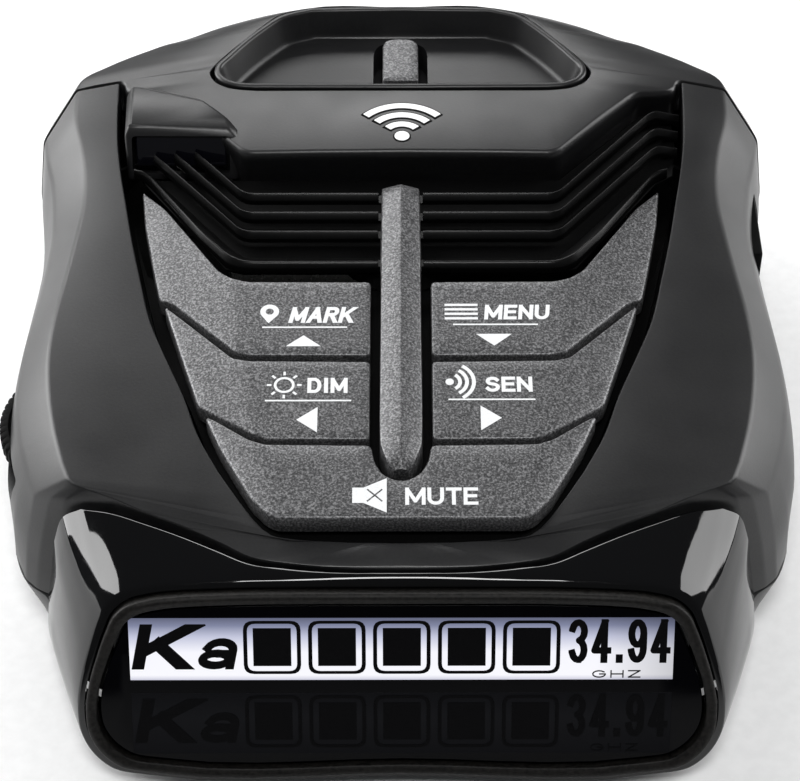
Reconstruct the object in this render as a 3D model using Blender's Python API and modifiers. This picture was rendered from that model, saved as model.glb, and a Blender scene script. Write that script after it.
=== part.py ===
"""Windshield radar detector: a housing in two halves with a display nose, five keys, a speaker grille, a
thumbwheel, a bracket tray with its release latch, and the electronics inside.

The driver sits on the -Y side and the windshield is on the +Y side. The rubber feet stand on Z = 0.
Every size below is in millimetres. MM turns it into the scene's metres.
"""
import math

import bmesh
import bpy
from mathutils import Matrix, Vector

MM = 0.001

# Driving dimensions
FIT_GAP = 0.35  # clearance between two pieces that touch on the real object
WALL = 1.9
PARTING_Z = 10.2  # where the top frame meets the bottom case
WIDEST_Z = 17.0
BASE_Z = 1.2
FLOOR_Z = 2.6

RAIL_NEAR_Y = -42.0
RAIL_NEAR_Z = 28.0
RAIL_SLOPE = 0.065
CREASE_DROP = 1.0  # how far the rail's crease lies under its inner edge
SHOULDER_DROP = 6.0

KEY_NEAR_Y = -36.0
KEY_NEAR_Z = 30.2
KEY_SLOPE = 0.058
FLANK_SLOPE = 0.2
KEY_THICKNESS = 2.6
DECK_DROP = 3.7  # from the key faces to the carrier's upper face
DECK_THICKNESS = 1.2
KEY_BOARD_DROP = 8.4
KEY_STEM_RADIUS = 1.3
KEY_STEM_BOTTOM_DROP = 5.2
STEM_HOLE_RADIUS = 2.2
SWITCH_SIZE = (6.0, 6.0, 2.0)

SPINE_FAR_Y = 18.8
SPINE_END_Y = -31.6
SPINE_RISE = 0.8  # its edges above the key faces
SPINE_GROOVE_Z = 32.2  # floor of the groove that it lies in across the grille

DISPLAY_CENTRE = (0.0, -53.45, 15.2)
DISPLAY_TILT = math.radians(64.3)  # from lying flat to facing the driver
DISPLAY_HALF_WIDTH = 39.9
DISPLAY_HALF_HEIGHT = 13.1

TRAY_FLOOR_Z = 31.0
TRAY_LIP_Z = 35.1
LATCH_HALF_WIDTH = 2.6
LATCH_SLOT_HALF_WIDTH = 4.0
LATCH_Y = (42.0, 51.6)
LATCH_SLOT_Y = (41.2, 53.4)
LATCH_TOP_Z = 33.2
LATCH_WELL_Z = 26.4  # floor of the well under the latch, which holds its spring
LATCH_THICKNESS = 2.4

WHEEL_RADIUS = 11.0
WHEEL_THICKNESS = 3.0
WHEEL_CENTRE = (-42.9, -12.6, 18.0)
WHEEL_BORE_RADIUS = 2.0
WHEEL_SHAFT_RADIUS = 1.5

BOARD_Z = (12.4, 14.0)
NEAR_SCREWS = [(-35.0, -27.0), (35.0, -27.0)]  # up into the top frame's bosses
FAR_SCREWS = [(-35.0, 43.0), (35.0, 43.0)]  # up into the front cap's bosses
BOSS_RADIUS = 2.9
HORN_X = -9.5
PILOT_RADIUS = 1.6
FOOT_PLACES = [(-33.0, -37.0), (33.0, -37.0), (-27.0, 45.5), (27.0, 45.5)]
JACK_CENTRE = (45.2, 22.0, 18.6)
JACK_SIZE = (12.0, 12.0, 8.6)
USB_CENTRE = (47.4, 8.0, 16.3)
USB_SIZE = (7.0, 9.0, 4.0)

# Right-hand half of the top frame: one line per station, from the front cap round to the middle of the near
# strip. Each line has the inner edge, the crease, the shoulder, the widest line and the lower edge as x, y.
FRAME_STATIONS = [
    ((40.8, 41.0), (47.0, 40.5), (51.8, 35.4), (53.2, 34.2), (52.6, 34.2)),
    ((40.5, 34.0), (46.8, 34.4), (51.1, 31.5), (52.9, 31.0), (52.3, 31.0)),
    ((40.1, 28.7), (45.5, 29.0), (50.1, 27.5), (52.4, 27.0), (51.8, 27.0)),
    ((39.2, 22.5), (44.5, 22.9), (49.3, 21.8), (51.8, 21.8), (51.2, 21.8)),
    ((38.2, 17.2), (44.3, 17.2), (49.0, 16.8), (51.6, 16.8), (51.0, 16.8)),
    ((36.9, 10.3), (44.8, 11.3), (49.2, 11.4), (51.9, 11.4), (51.3, 11.4)),
    ((35.3, 3.1), (45.6, 4.1), (49.8, 5.0), (52.4, 5.0), (51.8, 5.0)),
    ((33.4, -4.8), (46.4, -2.6), (50.6, -1.5), (52.8, -1.5), (52.2, -1.5)),
    ((30.8, -11.5), (46.7, -9.5), (51.1, -8.0), (53.0, -8.0), (52.4, -8.0)),
    ((28.2, -17.8), (46.1, -16.0), (51.0, -14.5), (52.9, -15.0), (52.3, -15.0)),
    ((25.9, -24.5), (44.8, -22.6), (49.9, -20.5), (52.3, -22.0), (51.7, -22.5)),
    ((23.0, -30.3), (43.3, -27.9), (48.4, -25.6), (50.6, -27.4), (51.0, -28.6)),
    ((20.6, -34.3), (42.3, -30.5), (47.3, -28.8), (48.5, -30.6), (49.3, -32.6)),
    ((18.6, -37.4), (41.4, -31.4), (44.9, -30.9), (46.7, -33.0), (47.7, -34.2)),
    ((17.2, -39.2), (40.0, -32.0), (42.6, -32.2), (44.5, -34.3), (45.5, -35.5)),
    ((15.8, -40.3), (36.5, -33.5), (36.7, -33.7), (36.8, -33.9), (36.9, -34.0)),
    ((14.0, -40.9), (31.8, -36.0), (31.9, -36.1), (31.9, -36.2), (31.9, -36.2)),
    ((11.5, -41.1), (27.0, -38.3), (27.0, -38.4), (27.0, -38.5), (27.0, -38.5)),
    ((8.5, -41.2), (22.4, -40.8), (22.4, -40.9), (22.4, -41.0), (22.4, -41.0)),
    ((6.0, -41.3), (18.8, -43.0), (18.8, -43.1), (18.8, -43.2), (18.8, -43.2)),
    ((3.5, -41.3), (13.5, -44.2), (13.5, -44.3), (13.5, -44.4), (13.5, -44.4)),
    ((0.0, -41.3), (0.0, -45.0), (0.0, -45.1), (0.0, -45.2), (0.0, -45.2)),
]
CORNER_STATION = 12
NOSE_STATION = 15  # from here on the strip's lower edge is cut away for the display

# Right-hand half of the front cap, from the middle of its lip round to the middle of the windshield end:
# rim of the tray hole, upper edge, shoulder, widest line and lower edge as x, y, z, and the way inwards.
CAP_STATIONS = [
    ((0.0, 37.7, 34.9), (0.0, 23.9, 35.4), (0.0, 23.5, 34.6),
     (0.0, 23.6, 31.0), (0.0, 23.7, 28.0), (0.0, 1.0)),
    ((12.0, 37.7, 34.9), (11.5, 23.9, 35.3), (11.6, 23.5, 34.5),
     (11.6, 23.6, 31.0), (11.6, 23.7, 28.0), (0.0, 1.0)),
    ((21.0, 37.8, 34.8), (21.7, 23.9, 35.1), (21.9, 23.5, 34.3),
     (21.9, 23.6, 31.0), (21.9, 23.7, 28.0), (-0.4, 0.9)),
    ((24.3, 38.2, 34.8), (28.3, 31.7, 34.8), (28.6, 31.3, 34.0),
     (28.6, 31.4, 31.0), (28.6, 31.5, 28.0), (-0.8, 0.6)),
    ((26.4, 39.4, 34.7), (33.9, 38.0, 34.3), (34.1, 37.6, 33.5),
     (34.1, 37.7, 31.0), (34.1, 37.8, 28.0), (-0.4, 0.9)),
    ((27.4, 41.0, 34.7), (39.4, 38.9, 33.8), (39.7, 38.5, 33.0),
     (39.7, 38.6, 31.0), (39.7, 38.7, 28.0), (-0.6, 0.8)),
    ((27.6, 42.4, 34.6), (40.2, 41.7, 33.5), (40.2, 41.4, 32.7),
     (40.2, 41.5, 30.5), (40.2, 41.6, 28.0), (-0.5, 0.9)),
    ((27.1, 43.4, 34.6), (45.0, 41.4, 32.7), (45.0, 41.1, 31.9),
     (45.0, 41.1, 30.0), (45.0, 41.1, 27.0), (0.0, 1.0)),
    ((26.5, 44.4, 34.6), (47.2, 41.2, 32.2), (52.0, 36.0, 26.9),
     (53.3, 34.8, 17.0), (52.7, 34.8, 10.2), (-1.0, 1.4)),
    ((25.6, 45.8, 34.6), (46.6, 43.3, 32.2), (50.9, 39.8, 26.9),
     (52.7, 40.3, 17.0), (52.1, 40.3, 10.2), (-1.0, 0.0)),
    ((24.0, 48.2, 34.5), (43.2, 46.3, 32.2), (47.2, 44.4, 27.0),
     (49.7, 45.9, 17.0), (49.1, 45.6, 10.2), (-0.8, -0.5)),
    ((21.6, 51.4, 34.4), (37.4, 49.8, 32.4), (40.2, 49.9, 27.4),
     (42.6, 52.1, 17.0), (42.1, 51.7, 10.2), (-0.7, -0.7)),
    ((20.8, 52.6, 34.4), (34.4, 51.3, 32.5), (37.0, 51.7, 27.5),
     (37.8, 54.4, 17.0), (37.5, 54.0, 10.2), (-0.6, -0.8)),
    ((20.4, 53.1, 34.4), (33.8, 51.5, 32.5), (36.4, 52.0, 27.6),
     (36.9, 53.8, 26.9), (36.9, 53.9, 26.4), (-0.6, -0.8)),
    ((18.4, 55.6, 34.3), (26.6, 54.8, 32.9), (28.2, 55.8, 28.4),
     (28.6, 56.6, 27.2), (28.6, 56.7, 26.4), (-0.4, -0.9)),
    ((13.8, 57.6, 34.2), (16.8, 57.9, 33.4), (17.4, 58.7, 29.2),
     (17.6, 58.9, 27.4), (17.6, 59.0, 26.4), (-0.2, -1.0)),
    ((0.0, 57.8, 34.3), (0.0, 58.5, 33.6), (0.0, 59.1, 29.6),
     (0.0, 59.2, 27.6), (0.0, 59.3, 26.4), (0.0, -1.0)),
]
CAP_CORNER = 8  # the lip ends before this station, and the end wall starts at it

# Front lens: the same wall below the cap's notch, from the middle outwards, as x and the y of its top,
# widest line and foot.
LENS_STATIONS = [
    (0.0, 59.3, 59.6, 59.2),
    (17.6, 59.0, 59.3, 58.9),
    (28.6, 56.8, 57.4, 56.9),
    (36.1, 54.0, 55.1, 54.7),
]

# Bottom case, from the middle of the near end round to the middle of the far end: rim, waist and base.
CASE_STATIONS = [
    ((0.0, -46.9, 3.1), (0.0, -46.9, 2.7), (0.0, -46.2)),
    ((33.0, -46.6, 3.2), (33.0, -46.5, 2.7), (31.0, -45.6)),
    ((39.7, -45.0, 3.4), (39.5, -44.8, 2.8), (36.0, -43.2)),
    ((43.1, -41.6, 4.0), (43.0, -41.2, 3.2), (38.5, -40.0)),
    ((46.0, -38.2, 6.3), (45.6, -37.7, 4.6), (40.5, -36.5)),
    ((45.9, -35.9, 9.9), (46.8, -35.2, 5.5), (41.8, -33.0)),
    ((49.2, -32.8, 9.9), (48.2, -32.0, 5.5), (43.0, -29.5)),
    ((51.0, -28.6, 9.9), (49.6, -28.0, 5.5), (44.0, -25.0)),
    ((51.7, -22.5, 9.9), (50.2, -22.0, 5.5), (44.7, -19.0)),
    ((52.4, -12.0, 9.9), (50.8, -12.0, 5.5), (45.0, -10.0)),
    ((52.2, -1.5, 9.9), (50.7, -1.5, 5.5), (45.0, 0.0)),
    ((51.5, 7.0, 9.9), (50.0, 7.0, 5.5), (44.6, 7.0)),
    ((51.1, 15.0, 9.9), (49.5, 15.0, 5.5), (44.2, 15.0)),
    ((51.5, 24.0, 9.9), (50.0, 24.0, 5.5), (44.5, 23.0)),
    ((52.5, 33.0, 9.9), (51.0, 33.0, 5.5), (45.0, 30.5)),
    ((52.0, 40.2, 9.9), (50.5, 39.8, 5.5), (44.5, 37.0)),
    ((49.0, 45.5, 9.9), (47.6, 44.8, 5.5), (42.0, 42.0)),
    ((42.0, 51.6, 9.9), (40.8, 50.6, 5.5), (36.5, 46.8)),
    ((29.4, 56.5, 9.9), (28.7, 55.5, 5.5), (26.0, 51.6)),
    ((17.0, 58.8, 9.9), (16.6, 57.8, 5.5), (15.0, 53.8)),
    ((0.0, 59.1, 9.9), (0.0, 58.1, 5.5), (0.0, 54.2)),
]

# Outline of the display ring in its own plane, from the top middle round to the bottom middle, and the seam
# where the bezel's back edge meets the frame and the case, in the same order.
DISPLAY_OUTLINE = [
    (0.0, 13.1), (13.0, 13.1), (19.0, 13.05), (23.5, 12.9), (27.5, 12.7), (31.5, 12.2), (34.3, 11.3),
    (35.9, 9.8), (37.0, 7.4), (38.2, 4.0), (39.3, 0.2), (39.9, -3.8), (39.6, -7.2), (38.2, -10.0),
    (35.8, -12.1), (32.0, -12.9), (0.0, -13.1),
]
BEZEL_SEAM = [
    (0.0, -45.6, 27.4), (13.5, -44.9, 27.3), (19.0, -43.8, 27.2), (22.8, -41.8, 27.1), (27.4, -39.4, 27.0),
    (32.2, -37.2, 26.9), (37.0, -35.0, 26.5), (40.6, -33.8, 25.8), (42.9, -33.9, 24.5), (44.0, -34.6, 22.0),
    (44.9, -35.6, 17.0), (45.9, -36.6, 10.6), (46.0, -38.8, 6.9), (44.2, -42.3, 3.6), (40.8, -45.6, 2.4),
    (34.0, -47.1, 1.9), (0.0, -47.4, 1.8),
]

# Half outline of the bracket tray, from the middle of its near edge to the middle of its far edge.
TRAY_OUTLINE = [
    (0.0, 38.1), (21.0, 38.2), (24.0, 38.6), (26.0, 39.8), (26.9, 41.4), (26.9, 43.0), (25.4, 45.6),
    (20.6, 52.2), (18.0, 54.9), (13.2, 56.8), (0.0, 57.1),
]

# Speaker grille: each rib's y at the middle and its outer end's x, how a rib runs outwards, and the wider rim
# along the keys as x, near y and far y.
RIBS = [(17.2, 38.7), (13.6, 38.3), (10.0, 37.9)]
RIB_WIDTH = 1.5
RIB_BEND_X = 21.7
RIB_OUTER = (35.9, 17.4)
RIB_THICKNESS = 1.6
RIM = [
    (0.0, 3.6, 5.9), (21.0, 3.6, 5.9), (23.4, 4.4, 8.2), (27.4, 9.4, 13.2), (35.4, 21.6, 23.4),
    (37.5, 23.2, 24.4),
]

# Key outlines on the left side (x is mirrored for the right side), and the outline of the MUTE key's half.
FAR_KEY = [
    (-4.0, 0.7), (-20.6, 0.8), (-22.6, 1.4), (-24.6, 3.2), (-32.6, 16.4), (-36.2, 20.6), (-35.4, 13.8),
    (-33.4, 3.6), (-32.4, -0.8), (-30.6, -1.6), (-21.6, -11.8), (-20.0, -12.3), (-4.0, -12.4),
]
MIDDLE_KEY = [
    (-4.0, -13.4), (-20.2, -13.2), (-22.0, -12.6), (-30.9, -2.6), (-31.7, -2.0), (-29.4, -9.6),
    (-26.2, -19.9), (-24.6, -21.2), (-18.6, -25.8), (-17.2, -26.4), (-4.0, -26.5),
]
MUTE_KEY_HALF = [
    (3.8, -27.4), (17.4, -27.2), (19.2, -26.4), (24.2, -22.2), (25.2, -21.8), (23.2, -26.8), (21.0, -31.2),
    (18.7, -35.6), (16.6, -38.2), (15.2, -39.0), (-15.2, -39.0), (-16.6, -38.2), (-18.7, -35.6),
    (-21.0, -31.2), (-23.2, -26.8), (-25.2, -21.8), (-24.2, -22.2), (-19.2, -26.4), (-17.4, -27.2),
    (-3.8, -27.4), (-3.4, -30.0), (-2.4, -32.0), (-0.8, -33.0), (0.8, -33.0), (2.4, -32.0), (3.4, -30.0),
]
KEY_CENTRES = {
    "button_mark": (-15.0, -5.0),
    "button_menu": (15.0, -5.0),
    "button_dim": (-14.0, -20.0),
    "button_sensitivity": (14.0, -20.0),
    "button_mute": (0.0, -35.8),
}

# Rear laser pod: its top face, its shoulder and its foot, counter-clockwise from above.
POD_TOP = [
    (-38.2, 28.2, 36.4), (-24.2, 28.0, 35.9), (-24.6, 30.4, 36.2), (-28.0, 33.6, 36.4), (-38.4, 37.2, 36.2),
]
POD_SHOULDER = [
    (-38.9, 27.4, 35.0), (-22.9, 27.2, 35.1), (-22.9, 28.9, 34.9), (-30.6, 37.4, 33.9), (-39.5, 38.0, 33.6),
]
POD_FOOT = [
    (-38.6, 24.4, 29.4), (-22.9, 24.4, 29.4), (-22.9, 28.6, 29.4), (-30.6, 37.4, 29.4), (-39.4, 38.0, 29.4),
]
POD_FACE_LEAN = math.radians(27.0)


def rail_z(y):
    """Height of the rails' inner edge, which falls gently towards the driver."""
    return RAIL_NEAR_Z + RAIL_SLOPE * (y - RAIL_NEAR_Y)


def key_crease_x(y):
    """Where the level middle of the key group folds into its flanks."""
    return 22.3 - 0.014 * max(0.0, 6.0 - y) - 0.0033 * max(0.0, 6.0 - y) ** 2


def key_z(x, y, drop=0.0):
    """Height of the folded key faces, or of the same surface a drop below them."""
    middle = KEY_NEAR_Z + KEY_SLOPE * (y - KEY_NEAR_Y) - drop
    return middle - FLANK_SLOPE * max(0.0, abs(x) - key_crease_x(y))


# Helpers


def clear_scene():
    for obj in list(bpy.data.objects):
        bpy.data.objects.remove(obj, do_unlink=True)


def new_collection(name):
    collection = bpy.data.collections.new(name)
    bpy.context.scene.collection.children.link(collection)
    return collection


def material(name, colour, roughness, metallic=0.0):
    mat = bpy.data.materials.get(name) or bpy.data.materials.new(name)
    mat.use_nodes = True
    shader = mat.node_tree.nodes["Principled BSDF"]
    shader.inputs["Base Color"].default_value = (*colour, 1.0)
    shader.inputs["Roughness"].default_value = roughness
    shader.inputs["Metallic"].default_value = metallic
    return mat


def add_object(name, bm, mat, origin=(0.0, 0.0, 0.0), cutter=False):
    """Makes an object from a bmesh in millimetres, with its origin at the given point."""
    bm.transform(Matrix.Translation(-Vector(origin)))
    bm.transform(Matrix.Scale(MM, 4))
    mesh = bpy.data.meshes.new(name)
    bm.to_mesh(mesh)
    bm.free()
    obj = bpy.data.objects.new(name, mesh)
    obj.location = Vector(origin) * MM
    if cutter:
        CUTTERS.objects.link(obj)
        obj.hide_render = True
        obj.display_type = "WIRE"
    else:
        PARTS.objects.link(obj)
        mesh.materials.append(mat)
    return obj


def face_outwards(bm):
    """Turns the faces outwards. A half that is open on the plane X = 0 keeps the sign of its volume."""
    if bm.calc_volume(signed=True) < 0:
        bmesh.ops.reverse_faces(bm, faces=bm.faces)


def sweep(sections, closed=True, cap_start=False, cap_end=False):
    """A bmesh that joins sections with the same number of points, each a ring unless closed is False."""
    bm = bmesh.new()
    rows = [[bm.verts.new(point) for point in section] for section in sections]
    count = len(rows[0])
    for row, following in zip(rows, rows[1:]):
        for k in range(count if closed else count - 1):
            n = (k + 1) % count
            bm.faces.new((row[k], row[n], following[n], following[k]))
    if cap_start:
        bm.faces.new(reversed(rows[0]))
    if cap_end:
        bm.faces.new(rows[-1])
    bmesh.ops.remove_doubles(bm, verts=bm.verts, dist=0.001)
    bmesh.ops.dissolve_degenerate(bm, edges=bm.edges, dist=0.001)
    bmesh.ops.triangulate(bm, faces=bm.faces)
    face_outwards(bm)
    return bm


def mirror(obj):
    mod = obj.modifiers.new("Mirror", "MIRROR")
    mod.use_axis[0] = True
    mod.merge_threshold = 0.00001
    return obj


def boolean(obj, cutter, operation="DIFFERENCE"):
    mod = obj.modifiers.new(cutter.name, "BOOLEAN")
    mod.operation = operation
    mod.solver = "EXACT"
    mod.object = cutter
    return obj


def soften(obj, width=0.3, segments=1):
    mod = obj.modifiers.new("Bevel", "BEVEL")
    mod.width = width * MM
    mod.segments = segments
    mod.limit_method = "ANGLE"
    return obj


def box_mesh(size):
    bm = bmesh.new()
    bmesh.ops.create_cube(bm, size=1.0)
    bmesh.ops.scale(bm, vec=size, verts=bm.verts)
    return bm


def box(name, size, centre, mat, cutter=False):
    bm = box_mesh(size)
    bmesh.ops.translate(bm, vec=centre, verts=bm.verts)
    return add_object(name, bm, mat, origin=centre, cutter=cutter)


def cylinder(name, radius, height, centre, mat, sides=24, cutter=False, top_radius=None):
    bm = bmesh.new()
    upper = radius if top_radius is None else top_radius
    bmesh.ops.create_cone(
        bm, cap_ends=True, segments=sides, radius1=radius, radius2=upper, depth=height
    )
    bmesh.ops.translate(bm, vec=centre, verts=bm.verts)
    obj = add_object(name, bm, mat, origin=centre, cutter=cutter)
    if not cutter:
        obj.data.shade_smooth()
        obj.data.set_sharp_from_angle(angle=math.radians(35))
    return obj


def turned(name, profile, centre, mat, steps=32, closed=False):
    """A profile of radius and height pairs, listed top to bottom, turned about the vertical axis."""
    bm = bmesh.new()
    verts = [bm.verts.new((radius, 0.0, height)) for radius, height in profile]
    pairs = list(zip(verts, verts[1:]))
    if closed:
        pairs.append((verts[-1], verts[0]))
    for pair in pairs:
        bm.edges.new(pair)
    bmesh.ops.translate(bm, vec=centre, verts=bm.verts)
    obj = add_object(name, bm, mat, origin=centre)
    mod = obj.modifiers.new("Screw", "SCREW")
    mod.steps = steps
    mod.render_steps = steps
    mod.use_merge_vertices = True
    mod.merge_threshold = 0.00001
    mod.use_smooth_shade = False
    return obj


def flat_outline(name, outline, height, thickness, mat, cutter=False, origin=(0.0, 0.0, 0.0)):
    """A plate with the given outline, its middle at the given height, made a mesh from a filled 2D curve."""
    curve = bpy.data.curves.new(name, "CURVE")
    curve.dimensions = "2D"
    curve.fill_mode = "BOTH"
    curve.extrude = thickness / 2 * MM
    spline = curve.splines.new("POLY")
    spline.points.add(len(outline) - 1)
    for point, (x, y) in zip(spline.points, outline):
        point.co = (x * MM, y * MM, 0.0, 1.0)
    spline.use_cyclic_u = True
    guide = bpy.data.objects.new(name + "_outline", curve)
    bpy.context.scene.collection.objects.link(guide)
    bpy.context.view_layer.update()
    evaluated = guide.evaluated_get(bpy.context.evaluated_depsgraph_get())
    mesh = bpy.data.meshes.new_from_object(evaluated)
    bpy.data.objects.remove(guide)
    bm = bmesh.new()
    bm.from_mesh(mesh)
    bpy.data.meshes.remove(mesh)
    bm.transform(Matrix.Scale(1 / MM, 4))
    bmesh.ops.remove_doubles(bm, verts=bm.verts, dist=0.001)
    bmesh.ops.translate(bm, vec=(0.0, 0.0, height), verts=bm.verts)
    bmesh.ops.recalc_face_normals(bm, faces=bm.faces)
    return add_object(name, bm, mat, origin=origin, cutter=cutter)


def inset_path(path, distance):
    """Moves a half outline inwards. Its ends stay on X = 0, and it turns the way the case does."""
    moved = []
    last = len(path) - 1
    for k, point in enumerate(path):
        before = Vector(path[max(k - 1, 0)][:2])
        after = Vector(path[min(k + 1, last)][:2])
        run = (after - before).normalized()
        if k in (0, last):
            run = Vector((1.0 if k == 0 else -1.0, 0.0))
        inward = Vector((-run.y, run.x))
        moved.append((point[0] + inward.x * distance, point[1] + inward.y * distance))
    return moved


def display_point(x, up, out):
    """A point given in the display's plane: across, up the plane, and out towards the driver."""
    turn = Matrix.Rotation(DISPLAY_TILT, 3, "X")
    return Vector(DISPLAY_CENTRE) + turn @ Vector((x, up, out))


def display_outline(inset):
    across = 1 - inset / DISPLAY_HALF_WIDTH
    upwards = 1 - inset / DISPLAY_HALF_HEIGHT
    return [(x * across, y * upwards) for x, y in DISPLAY_OUTLINE]


def both_sides(half):
    """A whole outline from its half at +X, which may start or end on X = 0."""
    return half + [(-x, y) for x, y in reversed(half) if x > 0.0]


def slant(obj):
    """Lays an object made flat round the display's centre into the display's plane."""
    obj.rotation_euler.x = DISPLAY_TILT
    obj.location = Vector(DISPLAY_CENTRE) * MM
    return obj


def folded_slab(name, drop, thickness, far_y=26.0, near_y=-46.0, mat=None):
    """A slab whose upper face follows the folded key faces."""
    sections = []
    steps = 9
    for k in range(steps):
        y = far_y + (near_y - far_y) * k / (steps - 1)
        crease = key_crease_x(y)
        across = [-48.0, -crease, crease, 48.0]
        upper = [(x, y, key_z(x, y, drop)) for x in across]
        lower = [(x, y, key_z(x, y, drop + thickness)) for x in reversed(across)]
        sections.append(upper + lower)
    bm = sweep(sections, cap_start=True, cap_end=True)
    return add_object(name, bm, mat, cutter=True)


# Housing


def frame_inward(station):
    """Horizontal direction into the housing at a station of the top frame."""
    if station < CORNER_STATION - 1:
        return Vector((-1.0, 0.0, 0.0))
    turn = min(1.0, (station - CORNER_STATION + 2) / 4)
    return Vector((-math.cos(turn * math.pi / 2), math.sin(turn * math.pi / 2), 0.0))


def frame_section(station):
    inner, crease, shoulder, widest, lower = FRAME_STATIONS[station]
    shoulder_z = rail_z(shoulder[1]) - SHOULDER_DROP
    widest_z, lower_z = WIDEST_Z, PARTING_Z
    if station > CORNER_STATION:
        shoulder_z = min(26.2, shoulder_z + 1.6 * (station - CORNER_STATION))
    if station >= NOSE_STATION:
        widest_z, lower_z = 24.0, 22.0
    crease_z = rail_z(crease[1]) - CREASE_DROP + max(0, station - NOSE_STATION) * 0.12
    outer = [
        Vector((*inner, rail_z(inner[1]))),
        Vector((*crease, crease_z)),
        Vector((*shoulder, shoulder_z)),
        Vector((*widest, widest_z)),
        Vector((*lower, lower_z)),
    ]
    inward = frame_inward(station)
    inside = [
        outer[0] - Vector((0.0, 0.0, 3.6)),
        outer[1] + inward * 0.8 - Vector((0.0, 0.0, 2.3)),
        outer[2] + inward * WALL - Vector((0.0, 0.0, 0.9)),
        outer[3] + inward * WALL,
        outer[4] + inward * WALL,
    ]
    return outer + inside[::-1]


def add_bosses(shell, places, top_z):
    """Screw bosses that hang from a shell's roof, each with a blind pilot hole."""
    foot_z = BOARD_Z[1] + FIT_GAP
    for k, (x, y) in enumerate(places):
        middle = (foot_z + top_z) / 2
        name = f"{shell.name}_boss_{k}"
        boss = cylinder(name, BOSS_RADIUS, top_z - foot_z, (x, y, middle), None, 16, True)
        boolean(shell, boss, "UNION")
        pilot = cylinder(name + "_pilot", PILOT_RADIUS, 8.0, (x, y, foot_z + 3.0), None, 12, True)
        boolean(shell, pilot)


def make_top_frame():
    sections = [frame_section(k) for k in range(len(FRAME_STATIONS))]
    frame = add_object("top_frame", sweep(sections, cap_start=True), BLACK_SATIN)
    mirror(frame)
    slot = box(
        "wheel_slot",
        (8.0, 2 * WHEEL_RADIUS + 1.0, WHEEL_THICKNESS + 1.0),
        (-50.6, WHEEL_CENTRE[1], WHEEL_CENTRE[2]),
        None,
        cutter=True,
    )
    boolean(frame, slot)
    jack_hole = box(
        "jack_hole",
        (12.0, JACK_SIZE[1] + 0.8, JACK_SIZE[2] + 0.8),
        (52.0, JACK_CENTRE[1], JACK_CENTRE[2]),
        None,
        cutter=True,
    )
    boolean(frame, jack_hole)
    usb_hole = box(
        "usb_hole",
        (12.0, USB_SIZE[1] + 0.8, USB_SIZE[2] + 0.8),
        (52.0, USB_CENTRE[1], USB_CENTRE[2]),
        None,
        cutter=True,
    )
    boolean(frame, usb_hole)
    add_bosses(frame, NEAR_SCREWS, 27.2)


def make_front_cap(pod_clearance):
    """A roof round the tray, joined to a lip above the grille and to the wall of the windshield end."""
    drop = Vector((0.0, 0.0, 1.9))
    roof, walls = [], []
    for *points, (across, along) in CAP_STATIONS:
        hole, edge, shoulder, widest, lower = (Vector(point) for point in points)
        inward = Vector((across, along, 0.0))
        root_depth = min(1.5, 0.15 * (edge - hole).length)
        root = edge + inward * root_depth - drop * 0.35
        brow = edge - inward * 0.15 - drop * 0.2
        if edge.x == 0.0:
            root.x = brow.x = 0.0
        roof.append([hole, edge, edge - drop, hole - drop])
        inner = [point + inward * WALL for point in (lower, widest)]
        inner.append(shoulder + inward * WALL - drop * 0.5)
        walls.append([root, brow, shoulder, widest, lower] + inner)
    cap = add_object("front_cap", sweep(roof), BLACK_SATIN)
    mirror(cap)
    lip = add_object("cap_lip", sweep(walls[:CAP_CORNER], cap_end=True), None, cutter=True)
    wall = add_object("cap_wall", sweep(walls[CAP_CORNER:], cap_start=True), None, cutter=True)
    for piece in (lip, wall):
        mirror(piece)
        boolean(cap, piece, "UNION")
    add_bosses(cap, FAR_SCREWS, 32.0)
    boolean(cap, pod_clearance)


def make_front_lens():
    sections = []
    for x, top_y, widest_y, foot_y in LENS_STATIONS:
        outer = [(x, top_y, 25.9), (x, widest_y, WIDEST_Z), (x, foot_y, PARTING_Z + 0.2)]
        inner = [(0.97 * x, y - WALL, z) for x, y, z in outer]
        sections.append(outer + inner[::-1])
    lens = add_object("front_lens", sweep(sections, cap_end=True), SMOKE_LENS)
    return mirror(lens)


def make_bottom_case():
    rims = inset_path([s[0] for s in CASE_STATIONS], WALL)
    waists = inset_path([s[1] for s in CASE_STATIONS], WALL)
    bases = inset_path([s[2] for s in CASE_STATIONS], WALL)
    sections = []
    for (rim, waist, base), rim_in, waist_in, base_in in zip(CASE_STATIONS, rims, waists, bases):
        floor_y = max(-43.0, min(51.0, base[1]))
        inner_waist_z = max(waist[2], FLOOR_Z + 0.2)
        sections.append([
            (0.0, floor_y, BASE_Z),
            (*base, BASE_Z),
            waist,
            rim,
            (*rim_in, max(rim[2], FLOOR_Z + 0.4)),
            (*waist_in, inner_waist_z),
            (*base_in, FLOOR_Z),
            (0.0, floor_y, FLOOR_Z),
        ])
    case = add_object("bottom_case", sweep(sections, closed=False), BLACK_SATIN)
    mirror(case)
    for k, (x, y) in enumerate(NEAR_SCREWS + FAR_SCREWS):
        hole = cylinder(f"screw_hole_{k}", 1.7, 4.0, (x, y, 2.0), None, sides=16, cutter=True)
        boolean(case, hole)
    return case


def make_screws_and_feet():
    for k, (x, y) in enumerate(NEAR_SCREWS + FAR_SCREWS, 1):
        turned(
            f"case_screw_{k}",
            [(0.0, 19.0), (1.2, 18.4), (1.2, 0.0), (2.5, 0.0), (2.5, -0.4), (2.1, -0.7), (0.0, -0.7)],
            (x, y, BASE_Z - FIT_GAP),
            STEEL,
            steps=16,
        )
    for k, (x, y) in enumerate(FOOT_PLACES, 1):
        height = BASE_Z - FIT_GAP
        cylinder(f"foot_{k}", 3.6, height, (x, y, height / 2), RUBBER, top_radius=4.0)


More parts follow.
